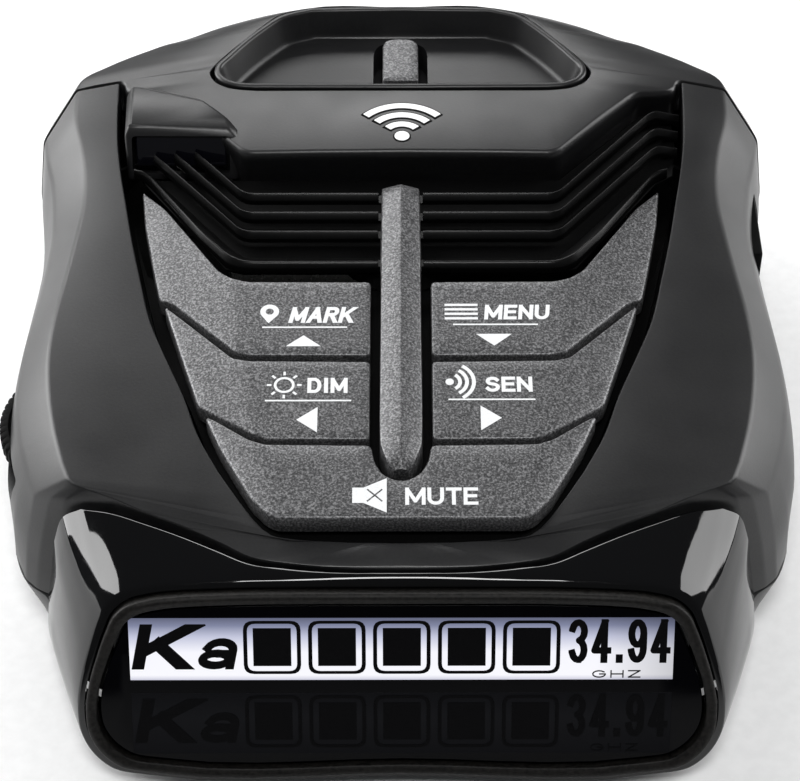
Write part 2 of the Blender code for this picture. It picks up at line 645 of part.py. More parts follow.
def make_display_nose():
    front = display_outline(-0.5)
    front_inside = display_outline(0.3)
    sections = []
    for seam, edge, edge_inside in zip(BEZEL_SEAM, front, front_inside):
        back = Vector(seam)
        fore = display_point(*edge, -1.0)
        centre_line = Vector((0.0, 0.0, 15.0))
        outward = Vector((back.x, 0.0, back.z)) - centre_line
        outward.normalize()
        back_inside = back - outward * 1.0
        middle = back.lerp(fore, 0.55) + outward * 0.5
        middle_inside = middle - outward * 1.7
        fore_inside = display_point(*edge_inside, -1.0)
        seat = display_point(*edge_inside, -2.1)
        for point in (back_inside, middle, middle_inside):
            if back.x == 0.0:
                point.x = 0.0
        sections.append([back, middle, fore, fore_inside, seat, middle_inside, back_inside])
    mirror(add_object("display_bezel", sweep(sections), GLOSS_BLACK))

    ring_sections = [
        [(*a, -1.7), (*a, 0.2), (*b, 0.6), (*c, 0.3), (*c, -1.7)]
        for a, b, c in zip(display_outline(0.6), display_outline(1.1), display_outline(2.0))
    ]
    slant(mirror(add_object("display_ring", sweep(ring_sections), RING_BROWN)))

    window_outline = both_sides(display_outline(2.4))
    slant(flat_outline("display_window", window_outline, -0.9, 1.2, SMOKE_LENS))

    panel = box("display_module", (72.0, 16.6, 2.0), (0.0, 0.0, 0.0), DISPLAY_GLASS)
    panel.location = display_point(0.0, 0.0, -3.1) * MM
    panel.rotation_euler.x = DISPLAY_TILT
    board = box("display_board", (66.0, 15.0, 1.6), (0.0, 0.0, 0.0), BOARD_BLACK)
    board.location = display_point(0.0, 0.0, -5.6) * MM
    board.rotation_euler.x = DISPLAY_TILT
    header = box("board_connector", (18.0, 4.6, 3.0), (0.0, 0.0, 0.0), BLACK_SATIN)
    header.location = display_point(0.0, -3.0, -8.4) * MM
    header.rotation_euler.x = DISPLAY_TILT
    for piece in (panel, board, header):
        soften(piece)


# Keys


def key_stem(centre, name):
    """A pin under a key that presses its switch."""
    x, y = centre
    top = key_z(x, y, KEY_THICKNESS - 0.6)
    bottom = key_z(x, y, KEY_STEM_BOTTOM_DROP)
    return cylinder(
        name, KEY_STEM_RADIUS, top - bottom, (x, y, (top + bottom) / 2), None, sides=16, cutter=True
    )


def make_keys(roof):
    outlines = {
        "button_mark": FAR_KEY,
        "button_menu": [(-x, y) for x, y in FAR_KEY],
        "button_dim": MIDDLE_KEY,
        "button_sensitivity": [(-x, y) for x, y in MIDDLE_KEY],
        "button_mute": MUTE_KEY_HALF,
    }
    for name, outline in outlines.items():
        x, y = KEY_CENTRES[name]
        origin = (x, y, key_z(x, y))
        key = flat_outline(name, outline, 28.0, 16.0, KEY_GREY, origin=origin)
        boolean(key, roof, "INTERSECT")
        boolean(key, key_stem((x, y), name + "_stem"), "UNION")


def make_deck():
    slab = folded_slab("deck_fold", DECK_DROP, DECK_THICKNESS)
    near_rail = [(s[0][0] - 0.7, s[0][1] + 0.5) for s in FRAME_STATIONS[4:]]
    half = [(0.0, 2.6), (30.0, 2.6), (35.0, 8.0), (36.6, 14.0)] + near_rail[:-1] + [(0.0, -40.9)]
    deck = flat_outline("keypad_deck", both_sides(half), 26.0, 16.0, BLACK_SATIN)
    boolean(deck, slab, "INTERSECT")
    for name, (x, y) in KEY_CENTRES.items():
        centre = (x, y, key_z(x, y, DECK_DROP + DECK_THICKNESS / 2))
        hole = cylinder(name + "_hole", STEM_HOLE_RADIUS, 8.0, centre, None, sides=16, cutter=True)
        boolean(deck, hole)


def make_key_switches():
    tilt = math.atan(KEY_SLOPE)
    board_y = -18.0
    board = box("key_board", (40.0, 42.0, 1.2), (0.0, 0.0, 0.0), BOARD_BLACK)
    board.location = Vector((0.0, board_y, key_z(0.0, board_y, KEY_BOARD_DROP + 0.6))) * MM
    board.rotation_euler.x = tilt
    for key_name, (x, y) in KEY_CENTRES.items():
        name = key_name.replace("button", "switch")
        switch = box(name, SWITCH_SIZE, (0.0, 0.0, 0.0), STEEL)
        centre_drop = KEY_BOARD_DROP - FIT_GAP - SWITCH_SIZE[2] / 2
        switch.location = Vector((x, y, key_z(x, y, centre_drop))) * MM
        switch.rotation_euler.x = tilt
        soften(switch)


def make_spine():
    """The ridge between the keys: a crest along its middle, a tapered near end and a far end that dips."""
    places = [
        (SPINE_FAR_Y, 2.4, 1.4), (17.6, 2.5, 0.5), (15.8, 2.5, 0.0), (3.4, 2.6, 0.0), (2.6, 2.6, 0.0),
        (-24.0, 2.7, 0.0), (-28.0, 2.6, 0.0), (-30.4, 1.9, 0.0), (SPINE_END_Y, 1.1, 0.0),
    ]
    sections = []
    for y, half, dip in places:
        edge_z = key_z(0.0, y) + SPINE_RISE - dip
        crest_z = edge_z + 0.9 * half / 2.7
        foot_z = key_z(0.0, y, DECK_DROP) + FIT_GAP
        if y > 3.0:
            foot_z = SPINE_GROOVE_Z + FIT_GAP + 0.1
        sections.append([
            (-half, y, edge_z), (0.0, y, crest_z), (half, y, edge_z),
            (half + 0.15, y, foot_z), (-half - 0.15, y, foot_z),
        ])
    add_object("center_spine", sweep(sections, cap_start=True, cap_end=True), KEY_GREY)


# Grille, pod and tray


def rib_bmesh(places, top):
    """Half a rib through places of x, near y and far y, its driver's edge a little lower."""
    low = top - RIB_THICKNESS
    sections = [
        [(x, near, top - 0.3), (x, far, top), (x, far, low), (x, near, low)] for x, near, far in places
    ]
    return sweep(sections, cap_end=True)


def make_grille(pod_clearance):
    grille = add_object("speaker_grille", rib_bmesh(RIM, key_z(0.0, 4.7, -0.2)), BLACK_SATIN)
    mirror(grille)
    turn_x, rise = RIB_OUTER
    for index, (middle, end_x) in enumerate(RIBS):
        run = [(0.0, middle), (RIB_BEND_X, middle), (turn_x, middle + rise), (end_x, middle + rise + 0.4)]
        places = [(x, y - RIB_WIDTH / 2, y + RIB_WIDTH / 2) for x, y in run]
        rib = add_object(f"rib_{index}", rib_bmesh(places, key_z(0.0, middle, -0.2)), None, cutter=True)
        mirror(rib)
        boolean(grille, rib, "UNION")
    top = key_z(0.0, 10.0) - 0.9
    for k, (x, y, length) in enumerate([(-35.2, 28.6, 13.0), (0.0, 11.0, 14.0), (35.2, 28.6, 13.0)]):
        bar = box(f"rib_tie_{k}", (3.0, length, 1.4), (x, y, top), None, cutter=True)
        boolean(grille, bar, "UNION")
    groove = box("spine_groove", (6.2, 24.0, 4.0), (0.0, 14.0, SPINE_GROOVE_Z + 2.0), None, cutter=True)
    boolean(grille, groove)
    boolean(grille, pod_clearance)


def hull(points):
    bm = bmesh.new()
    for point in points:
        bm.verts.new(point)
    result = bmesh.ops.convex_hull(bm, input=bm.verts)
    unused = [v for v in result["geom_interior"] if isinstance(v, bmesh.types.BMVert)]
    bmesh.ops.delete(bm, geom=unused, context="VERTS")
    bmesh.ops.recalc_face_normals(bm, faces=bm.faces)
    return bm


def make_pod():
    """The raised wedge with the rear laser window, and the hollow that it sits in."""
    points = [Vector(p) for p in POD_TOP + POD_SHOULDER + POD_FOOT]
    pod = add_object("rear_laser_pod", hull(points), BLACK_SATIN)
    centre = sum(points, Vector()) / len(points)
    spread = []
    for point in points:
        away = point - centre
        away.normalize()
        spread.append(point + away * 0.8)
        if point.z < 30.0:
            spread.append(point + away * 0.8 - Vector((0.0, 0.0, 6.0)))
    clearance = add_object("pod_clearance", hull(spread), None, cutter=True)
    recess = box("pod_recess", (13.0, 5.0, 4.4), (-31.0, 26.7, 32.6), None, cutter=True)
    boolean(pod, recess)
    pocket = box("pod_pocket", (8.0, 4.0, 4.0), (-31.0, 30.4, 32.6), None, cutter=True)
    boolean(pod, pocket)
    window = box("rear_laser_window", (12.2, 1.0, 3.8), (0.0, 0.0, 0.0), SMOKE_LENS)
    window.location = Vector((-31.0, 27.2, 32.6)) * MM
    window.rotation_euler.x = -POD_FACE_LEAN
    sensor = box("rear_laser_sensor", (6.0, 2.0, 3.4), (-31.0, 30.9, 32.6), SENSOR_BLACK)
    soften(sensor)
    return clearance


def make_tray():
    outer = TRAY_OUTLINE
    lip_inside = inset_path(outer, 0.9)
    wall_inside = inset_path(outer, 1.6)
    floor_inside = inset_path(outer, 2.4)
    sections = []
    for o, lip, wall, floor in zip(outer, lip_inside, wall_inside, floor_inside):
        spine_y = max(42.0, min(54.0, o[1]))
        sections.append([
            (0.0, spine_y, TRAY_FLOOR_Z - 1.4),
            (*wall, TRAY_FLOOR_Z - 1.4),
            (*o, TRAY_FLOOR_Z + 1.0),
            (*o, TRAY_LIP_Z - 0.3),
            (*lip, TRAY_LIP_Z),
            (*floor, TRAY_FLOOR_Z),
            (0.0, spine_y, TRAY_FLOOR_Z),
        ])
    tray = add_object("mount_tray", sweep(sections, closed=False), BLACK_SATIN)
    mirror(tray)
    near_y, far_y = LATCH_SLOT_Y
    middle_y = (near_y + far_y) / 2
    half, length = LATCH_SLOT_HALF_WIDTH, far_y - near_y
    well_foot = LATCH_WELL_Z - 1.0
    well_height = TRAY_FLOOR_Z - 0.4 - well_foot
    well = box(
        "latch_well",
        (2 * half + 2.4, length + 2.4, well_height),
        (0.0, middle_y, well_foot + well_height / 2),
        None,
        cutter=True,
    )
    boolean(tray, well, "UNION")
    right = [
        (half, near_y), (half, far_y - 3.6), (half - 0.5, far_y - 1.9), (half - 1.5, far_y - 0.7),
        (half - 2.9, far_y),
    ]
    left = [(-x, y) for x, y in reversed(right)]
    slot = flat_outline("latch_slot", right + left, LATCH_WELL_Z + 6.0, 12.0, None, cutter=True)
    boolean(tray, slot)


def make_latch():
    near_y, far_y = LATCH_Y
    half = LATCH_HALF_WIDTH
    outline = [
        (-half, near_y), (half, near_y), (half, far_y - 1.6), (half - 0.5, far_y - 0.6),
        (half - 1.5, far_y), (1.5 - half, far_y), (0.5 - half, far_y - 0.6), (-half, far_y - 1.6),
    ]
    middle_y = (near_y + far_y) / 2
    origin = (0.0, middle_y, LATCH_TOP_Z)
    height = LATCH_TOP_Z - LATCH_THICKNESS / 2
    flat_outline("mount_release_latch", outline, height, LATCH_THICKNESS, KEY_GREY, origin=origin)
    latch_foot = LATCH_TOP_Z - LATCH_THICKNESS

    turns, per_turn, radius, wire = 3, 12, 1.5, 0.25
    foot = LATCH_WELL_Z + FIT_GAP + wire
    height = latch_foot - FIT_GAP - wire - foot
    curve = bpy.data.curves.new("latch_spring", "CURVE")
    curve.dimensions = "3D"
    curve.bevel_depth = wire * MM
    curve.bevel_resolution = 1
    curve.use_fill_caps = True
    spline = curve.splines.new("POLY")
    count = turns * per_turn + 1
    spline.points.add(count - 1)
    for k, point in enumerate(spline.points):
        angle = 2 * math.pi * k / per_turn
        rise = height * k / (count - 1)
        point.co = (radius * math.cos(angle) * MM, radius * math.sin(angle) * MM, rise * MM, 1.0)
    spring = bpy.data.objects.new("latch_spring", curve)
    spring.location = Vector((0.0, middle_y, foot)) * MM
    curve.materials.append(STEEL)
    PARTS.objects.link(spring)


# Electronics


def make_wheel():
    half = WHEEL_THICKNESS / 2
    edge = 0.4
    outer, bore = WHEEL_RADIUS, WHEEL_BORE_RADIUS
    turned(
        "volume_wheel",
        [(bore, half), (outer - edge, half), (outer, half - edge), (outer, edge - half),
         (outer - edge, -half), (bore, -half)],
        WHEEL_CENTRE,
        BLACK_SATIN,
        steps=48,
        closed=True,
    )
    x, y, z = WHEEL_CENTRE
    foot = BOARD_Z[1] + FIT_GAP
    base = z - half - 0.5
    control = box("volume_control", (9.0, 9.0, base - foot), (x, y, (base + foot) / 2), BOARD_BLACK)
    shaft = cylinder("control_shaft", WHEEL_SHAFT_RADIUS, 5.0, (x, y, base + 1.7), None, cutter=True)
    boolean(control, shaft, "UNION")


def make_boards():
    low, high = BOARD_Z
    half = [
        (36.0, -30.0), (40.0, -26.0), (44.0, -20.0), (44.0, 34.0), (40.0, 41.0), (33.0, 47.0), (20.0, 51.0),
    ]
    board = flat_outline("main_board", both_sides(half), (low + high) / 2, high - low, BOARD_BLACK)
    for k, (x, y) in enumerate(NEAR_SCREWS + FAR_SCREWS):
        hole = cylinder(f"board_hole_{k}", 2.0, 4.0, (x, y, low), None, sides=16, cutter=True)
        boolean(board, hole)
    top = high + FIT_GAP

    horn_size = (44.0, 22.0, 10.0)
    horn = box("radar_horn", horn_size, (HORN_X, 40.0, top + horn_size[2] / 2), CAST_METAL)
    mouth = hull([
        (x * sx + HORN_X, y, top + 5.0 + z * sz)
        for x, y, z in ((20.5, 52.0, 4.2), (7.0, 33.0, 2.2)) for sx in (-1, 1) for sz in (-1, 1)
    ])
    boolean(horn, add_object("horn_mouth", mouth, None, cutter=True))
    soften(box("microwave_module", (30.0, 12.0, 7.0), (HORN_X, 22.4, top + 3.5), SHIELD_TIN))
    soften(box("front_laser_sensor", (12.0, 9.0, 9.0), (22.0, 43.5, top + 4.5), SENSOR_BLACK))

    turned(
        "speaker",
        [(0.0, 1.4), (3.0, 1.1), (8.0, 2.6), (9.1, 2.6), (9.4, 2.3), (9.4, -0.4), (6.4, -0.9),
         (6.4, -2.8), (0.0, -2.8)],
        (0.0, 13.4, 27.4),
        SENSOR_BLACK,
    )

    jack = box("power_jack", JACK_SIZE, JACK_CENTRE, BLACK_SATIN)
    x, y, z = JACK_CENTRE
    boolean(jack, box("jack_mouth", (16.0, 9.6, 6.4), (x + 4.0, y, z), None, cutter=True))
    port = box("usb_port", USB_SIZE, USB_CENTRE, STEEL)
    x, y, z = USB_CENTRE
    boolean(port, box("usb_mouth", (7.0, 7.8, 2.8), (x + 1.5, y, z), None, cutter=True))


clear_scene()
PARTS = new_collection("radar_detector")
CUTTERS = new_collection("cutters")

BLACK_SATIN = material("black_satin", (0.035, 0.035, 0.037), 0.42)
GLOSS_BLACK = material("gloss_black", (0.008, 0.008, 0.009), 0.08)
RING_BROWN = material("ring_brown", (0.05, 0.046, 0.044), 0.55)
KEY_GREY = material("key_grey", (0.13, 0.13, 0.135), 0.4, 0.55)
SMOKE_LENS = material("smoke_lens", (0.01, 0.01, 0.014), 0.05)
DISPLAY_GLASS = material("display_glass", (0.02, 0.02, 0.03), 0.1)
BOARD_BLACK = material("board_black", (0.015, 0.015, 0.016), 0.5)
SENSOR_BLACK = material("sensor_black", (0.02, 0.02, 0.02), 0.5)
SHIELD_TIN = material("shield_tin", (0.62, 0.62, 0.6), 0.3, 1.0)
CAST_METAL = material("cast_metal", (0.42, 0.42, 0.43), 0.5, 1.0)
STEEL = material("steel", (0.55, 0.55, 0.56), 0.3, 1.0)
RUBBER = material("rubber", (0.02, 0.02, 0.02), 0.85)

pod_clearance = make_pod()
make_top_frame()
make_front_cap(pod_clearance)
make_front_lens()
make_bottom_case()
make_screws_and_feet()
make_display_nose()
make_keys(folded_slab("key_fold", 0.0, KEY_THICKNESS))
make_deck()
make_key_switches()
make_spine()
make_grille(pod_clearance)
make_tray()
make_latch()
make_wheel()
make_boards()
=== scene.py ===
"""Looks of the radar detector: finished shells, keys, vents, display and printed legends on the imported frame.

Sizes are in millimetres and repeat the design's own tables. MM turns them into the scene's metres.
"""
import math

import bmesh
import bpy
import numpy as np
from mathutils import Euler, Matrix, Vector
from mathutils.geometry import delaunay_2d_cdt


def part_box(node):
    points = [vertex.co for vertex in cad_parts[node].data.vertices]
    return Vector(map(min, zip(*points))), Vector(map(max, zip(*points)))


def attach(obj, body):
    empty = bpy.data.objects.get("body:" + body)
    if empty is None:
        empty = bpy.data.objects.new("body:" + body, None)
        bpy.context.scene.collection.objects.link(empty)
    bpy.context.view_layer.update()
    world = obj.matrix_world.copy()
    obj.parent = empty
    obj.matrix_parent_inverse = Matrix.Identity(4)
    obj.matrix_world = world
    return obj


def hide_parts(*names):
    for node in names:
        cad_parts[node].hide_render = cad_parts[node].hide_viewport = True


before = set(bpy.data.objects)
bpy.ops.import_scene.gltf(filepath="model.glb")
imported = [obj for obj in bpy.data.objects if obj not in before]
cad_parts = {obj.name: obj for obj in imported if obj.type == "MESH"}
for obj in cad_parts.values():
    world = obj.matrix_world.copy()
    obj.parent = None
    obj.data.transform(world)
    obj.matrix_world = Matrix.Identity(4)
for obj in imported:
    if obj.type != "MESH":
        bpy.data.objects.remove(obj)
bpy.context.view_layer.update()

MM = 0.001

# Driving dimensions, the same as the design's
WALL = 1.9
PARTING_Z = 10.2
WIDEST_Z = 17.0
BASE_Z = 1.2
FLOOR_Z = 2.6
RAIL_NEAR_Y = -42.0
RAIL_NEAR_Z = 28.0
RAIL_SLOPE = 0.065
CREASE_DROP = 1.0
SHOULDER_DROP = 6.0
KEY_NEAR_Y = -36.0
KEY_NEAR_Z = 30.2
KEY_SLOPE = 0.058
FLANK_SLOPE = 0.2
KEY_THICKNESS = 2.6
DECK_DROP = 3.7
SPINE_FAR_Y = 18.8
SPINE_END_Y = -31.6
SPINE_RISE = 0.8
DISPLAY_CENTRE = Vector((0.0, -53.45, 15.2))
DISPLAY_TILT = math.radians(64.3)
DISPLAY_HALF_WIDTH = 39.9
DISPLAY_HALF_HEIGHT = 13.1
TRAY_FLOOR_Z = 31.0
TRAY_LIP_Z = 35.1
LATCH_HALF_WIDTH = 2.6
LATCH_Y = (42.0, 51.6)
LATCH_SLOT_Y = (41.2, 53.4)
LATCH_SLOT_HALF_WIDTH = 4.0
LATCH_TOP_Z = 33.2
LATCH_THICKNESS = 2.4
WHEEL_RADIUS = 11.0
WHEEL_THICKNESS = 3.0
WHEEL_CENTRE = (-42.9, -12.6, 18.0)
WHEEL_BORE_RADIUS = 2.0
NEAR_SCREWS = [(-35.0, -27.0), (35.0, -27.0)]
FAR_SCREWS = [(-35.0, 43.0), (35.0, 43.0)]
JACK_CENTRE = (45.2, 22.0, 18.6)
JACK_SIZE = (12.0, 12.0, 8.6)
USB_CENTRE = (47.4, 8.0, 16.3)
USB_SIZE = (7.0, 9.0, 4.0)

# Right-hand half of the top frame: inner edge, crease, shoulder, widest line and lower edge as x, y
FRAME_STATIONS = [
    ((40.8, 41.0), (47.0, 40.5), (51.8, 35.4), (53.2, 34.2), (52.6, 34.2)),
    ((40.5, 34.0), (46.8, 34.4), (51.1, 31.5), (52.9, 31.0), (52.3, 31.0)),
    ((40.1, 28.7), (45.5, 29.0), (50.1, 27.5), (52.4, 27.0), (51.8, 27.0)),
    ((39.2, 22.5), (44.5, 22.9), (49.3, 21.8), (51.8, 21.8), (51.2, 21.8)),
    ((38.2, 17.2), (44.3, 17.2), (49.0, 16.8), (51.6, 16.8), (51.0, 16.8)),
    ((36.9, 10.3), (44.8, 11.3), (49.2, 11.4), (51.9, 11.4), (51.3, 11.4)),
    ((35.3, 3.1), (45.6, 4.1), (49.8, 5.0), (52.4, 5.0), (51.8, 5.0)),
    ((33.4, -4.8), (46.4, -2.6), (50.6, -1.5), (52.8, -1.5), (52.2, -1.5)),
    ((30.8, -11.5), (46.7, -9.5), (51.1, -8.0), (53.0, -8.0), (52.4, -8.0)),
    ((28.2, -17.8), (46.1, -16.0), (51.0, -14.5), (52.9, -15.0), (52.3, -15.0)),
    ((25.9, -24.5), (44.8, -22.6), (49.9, -20.5), (52.3, -22.0), (51.7, -22.5)),
    ((23.0, -30.3), (43.3, -27.9), (48.4, -25.6), (50.6, -27.4), (51.0, -28.6)),
    ((20.6, -34.3), (42.3, -30.5), (47.3, -28.8), (48.5, -30.6), (49.3, -32.6)),
    ((18.6, -37.4), (41.4, -31.4), (44.9, -30.9), (46.7, -33.0), (47.7, -34.2)),
    ((17.2, -39.2), (40.0, -32.0), (42.6, -32.2), (44.5, -34.3), (45.5, -35.5)),
    ((15.8, -40.3), (36.5, -33.5), (36.7, -33.7), (36.8, -33.9), (36.9, -34.0)),
    ((14.0, -40.9), (31.8, -36.0), (31.9, -36.1), (31.9, -36.2), (31.9, -36.2)),
    ((11.5, -41.1), (27.0, -38.3), (27.0, -38.4), (27.0, -38.5), (27.0, -38.5)),
    ((8.5, -41.2), (22.4, -40.8), (22.4, -40.9), (22.4, -41.0), (22.4, -41.0)),
    ((6.0, -41.3), (18.8, -43.0), (18.8, -43.1), (18.8, -43.2), (18.8, -43.2)),
    ((3.5, -41.3), (13.5, -44.2), (13.5, -44.3), (13.5, -44.4), (13.5, -44.4)),
    ((0.0, -41.3), (0.0, -45.0), (0.0, -45.1), (0.0, -45.2), (0.0, -45.2)),
]
CORNER_STATION = 12  # where the side turns into the corner facets
NOSE_STATION = 15  # where the frame meets the display nose

# Right-hand half of the front cap: rim of the tray hole, upper edge, shoulder, widest line and lower
# edge, each as x, y, z, and the way inwards
CAP_STATIONS = [
    ((0.0, 37.7, 34.9), (0.0, 23.9, 35.4), (0.0, 23.5, 34.6),
     (0.0, 23.6, 31.0), (0.0, 23.7, 28.0), (0.0, 1.0)),
    ((12.0, 37.7, 34.9), (11.5, 23.9, 35.3), (11.6, 23.5, 34.5),
     (11.6, 23.6, 31.0), (11.6, 23.7, 28.0), (0.0, 1.0)),
    ((21.0, 37.8, 34.8), (21.7, 23.9, 35.1), (21.9, 23.5, 34.3),
     (21.9, 23.6, 31.0), (21.9, 23.7, 28.0), (-0.4, 0.9)),
    ((24.3, 38.2, 34.8), (28.3, 31.7, 34.8), (28.6, 31.3, 34.0),
     (28.6, 31.4, 31.0), (28.6, 31.5, 28.0), (-0.8, 0.6)),
    ((26.4, 39.4, 34.7), (33.9, 38.0, 34.3), (34.1, 37.6, 33.5),
     (34.1, 37.7, 31.0), (34.1, 37.8, 28.0), (-0.4, 0.9)),
    ((27.4, 41.0, 34.7), (39.4, 38.9, 33.8), (39.7, 38.5, 33.0),
     (39.7, 38.6, 31.0), (39.7, 38.7, 28.0), (-0.6, 0.8)),
    ((27.6, 42.4, 34.6), (40.2, 41.7, 33.5), (40.2, 41.4, 32.7),
     (40.2, 41.5, 30.5), (40.2, 41.6, 28.0), (-0.5, 0.9)),
    ((27.1, 43.4, 34.6), (45.0, 41.4, 32.7), (45.0, 41.1, 31.9),
     (45.0, 41.1, 30.0), (45.0, 41.1, 27.0), (0.0, 1.0)),
    ((26.5, 44.4, 34.6), (47.2, 41.2, 32.2), (52.0, 36.0, 26.9),
     (53.3, 34.8, 17.0), (52.7, 34.8, 10.2), (-1.0, 1.4)),
    ((25.6, 45.8, 34.6), (46.6, 43.3, 32.2), (50.9, 39.8, 26.9),
     (52.7, 40.3, 17.0), (52.1, 40.3, 10.2), (-1.0, 0.0)),
    ((24.0, 48.2, 34.5), (43.2, 46.3, 32.2), (47.2, 44.4, 27.0),
     (49.7, 45.9, 17.0), (49.1, 45.6, 10.2), (-0.8, -0.5)),
    ((21.6, 51.4, 34.4), (37.4, 49.8, 32.4), (40.2, 49.9, 27.4),
     (42.6, 52.1, 17.0), (42.1, 51.7, 10.2), (-0.7, -0.7)),
    ((20.8, 52.6, 34.4), (34.4, 51.3, 32.5), (37.0, 51.7, 27.5),
     (37.8, 54.4, 17.0), (37.5, 54.0, 10.2), (-0.6, -0.8)),
    ((20.4, 53.1, 34.4), (33.8, 51.5, 32.5), (36.4, 52.0, 27.6),
     (36.9, 53.8, 26.9), (36.9, 53.9, 26.4), (-0.6, -0.8)),
    ((18.4, 55.6, 34.3), (26.6, 54.8, 32.9), (28.2, 55.8, 28.4),
     (28.6, 56.6, 27.2), (28.6, 56.7, 26.4), (-0.4, -0.9)),
    ((13.8, 57.6, 34.2), (16.8, 57.9, 33.4), (17.4, 58.7, 29.2),
     (17.6, 58.9, 27.4), (17.6, 59.0, 26.4), (-0.2, -1.0)),
    ((0.0, 57.8, 34.3), (0.0, 58.5, 33.6), (0.0, 59.1, 29.6),
     (0.0, 59.2, 27.6), (0.0, 59.3, 26.4), (0.0, -1.0)),
]
CAP_CORNER = 8  # the station where the lip ends and the end wall begins

# Front lens: x and the y of its top, widest line and foot
LENS_STATIONS = [
    (0.0, 59.3, 59.6, 59.2),
    (17.6, 59.0, 59.3, 58.9),
    (28.6, 56.8, 57.4, 56.9),
    (36.1, 54.0, 55.1, 54.7),
]

# Bottom case, from the middle of the near end round to the middle of the far end: rim, waist and base
CASE_STATIONS = [
    ((0.0, -46.9, 3.1), (0.0, -46.9, 2.7), (0.0, -46.2)),
    ((33.0, -46.6, 3.2), (33.0, -46.5, 2.7), (31.0, -45.6)),
    ((39.7, -45.0, 3.4), (39.5, -44.8, 2.8), (36.0, -43.2)),
    ((43.1, -41.6, 4.0), (43.0, -41.2, 3.2), (38.5, -40.0)),
    ((46.0, -38.2, 6.3), (45.6, -37.7, 4.6), (40.5, -36.5)),
    ((45.9, -35.9, 9.9), (46.8, -35.2, 5.5), (41.8, -33.0)),
    ((49.2, -32.8, 9.9), (48.2, -32.0, 5.5), (43.0, -29.5)),
    ((51.0, -28.6, 9.9), (49.6, -28.0, 5.5), (44.0, -25.0)),
    ((51.7, -22.5, 9.9), (50.2, -22.0, 5.5), (44.7, -19.0)),
    ((52.4, -12.0, 9.9), (50.8, -12.0, 5.5), (45.0, -10.0)),
    ((52.2, -1.5, 9.9), (50.7, -1.5, 5.5), (45.0, 0.0)),
    ((51.5, 7.0, 9.9), (50.0, 7.0, 5.5), (44.6, 7.0)),
    ((51.1, 15.0, 9.9), (49.5, 15.0, 5.5), (44.2, 15.0)),
    ((51.5, 24.0, 9.9), (50.0, 24.0, 5.5), (44.5, 23.0)),
    ((52.5, 33.0, 9.9), (51.0, 33.0, 5.5), (45.0, 30.5)),
    ((52.0, 40.2, 9.9), (50.5, 39.8, 5.5), (44.5, 37.0)),
    ((49.0, 45.5, 9.9), (47.6, 44.8, 5.5), (42.0, 42.0)),
    ((42.0, 51.6, 9.9), (40.8, 50.6, 5.5), (36.5, 46.8)),
    ((29.4, 56.5, 9.9), (28.7, 55.5, 5.5), (26.0, 51.6)),
    ((17.0, 58.8, 9.9), (16.6, 57.8, 5.5), (15.0, 53.8)),
    ((0.0, 59.1, 9.9), (0.0, 58.1, 5.5), (0.0, 54.2)),
]

# Display ring in its own plane, and the seam at the bezel's back edge, both from the top round to the bottom
DISPLAY_OUTLINE = [
    (0.0, 13.1), (13.0, 13.1), (19.0, 13.05), (23.5, 12.9), (27.5, 12.7), (31.5, 12.2), (34.3, 11.3),
    (35.9, 9.8), (37.0, 7.4), (38.2, 4.0), (39.3, 0.2), (39.9, -3.8), (39.6, -7.2), (38.2, -10.0),
    (35.8, -12.1), (32.0, -12.9), (0.0, -13.1),
]
BEZEL_SEAM = [
    (0.0, -45.6, 27.4), (13.5, -44.9, 27.3), (19.0, -43.8, 27.2), (22.8, -41.8, 27.1), (27.4, -39.4, 27.0),
    (32.2, -37.2, 26.9), (37.0, -35.0, 26.5), (40.6, -33.8, 25.8), (42.9, -33.9, 24.5), (44.0, -34.6, 22.0),
    (44.9, -35.6, 17.0), (45.9, -36.6, 10.6), (46.0, -38.8, 6.9), (44.2, -42.3, 3.6), (40.8, -45.6, 2.4),
    (34.0, -47.1, 1.9), (0.0, -47.4, 1.8),
]
NOSE_RIDGE = 7  # the station where the nose's top facet meets its flank

# Half outline of the bracket tray, from the middle of its near edge to the middle of its far edge
TRAY_OUTLINE = [
    (0.0, 38.1), (21.0, 38.2), (24.0, 38.6), (26.0, 39.8), (26.9, 41.4), (26.9, 43.0), (25.4, 45.6),
    (20.6, 52.2), (18.0, 54.9), (13.2, 56.8), (0.0, 57.1),
]

# Speaker grille: each rib's y at the middle and its outer end's x, and the rim as x, near y and far y
RIBS = [(17.2, 38.7), (13.6, 38.3), (10.0, 37.9)]
RIB_WIDTH = 1.5
RIB_BEND_X = 21.7
RIB_OUTER = (35.9, 17.4)
RIB_THICKNESS = 1.6
RIM = [
    (0.0, 3.6, 5.9), (21.0, 3.6, 5.9), (23.4, 4.4, 8.2), (27.4, 9.4, 13.2), (35.4, 21.6, 23.4),
    (37.5, 23.2, 24.4),
]
# A black sheet under the vent slots: painted shade that keeps the slots dark
SHADE_SHEET_Z = 30.6
SHADE_SHEET = [
    (21.4, 4.2), (23.8, 5.0), (35.8, 22.1), (38.4, 23.8), (39.2, 30.0), (39.0, 37.6), (34.8, 37.0),
    (29.2, 30.8), (22.3, 23.0), (-22.3, 23.0), (-36.4, 23.0), (-35.8, 22.1), (-23.8, 5.0), (-21.4, 4.2),
]

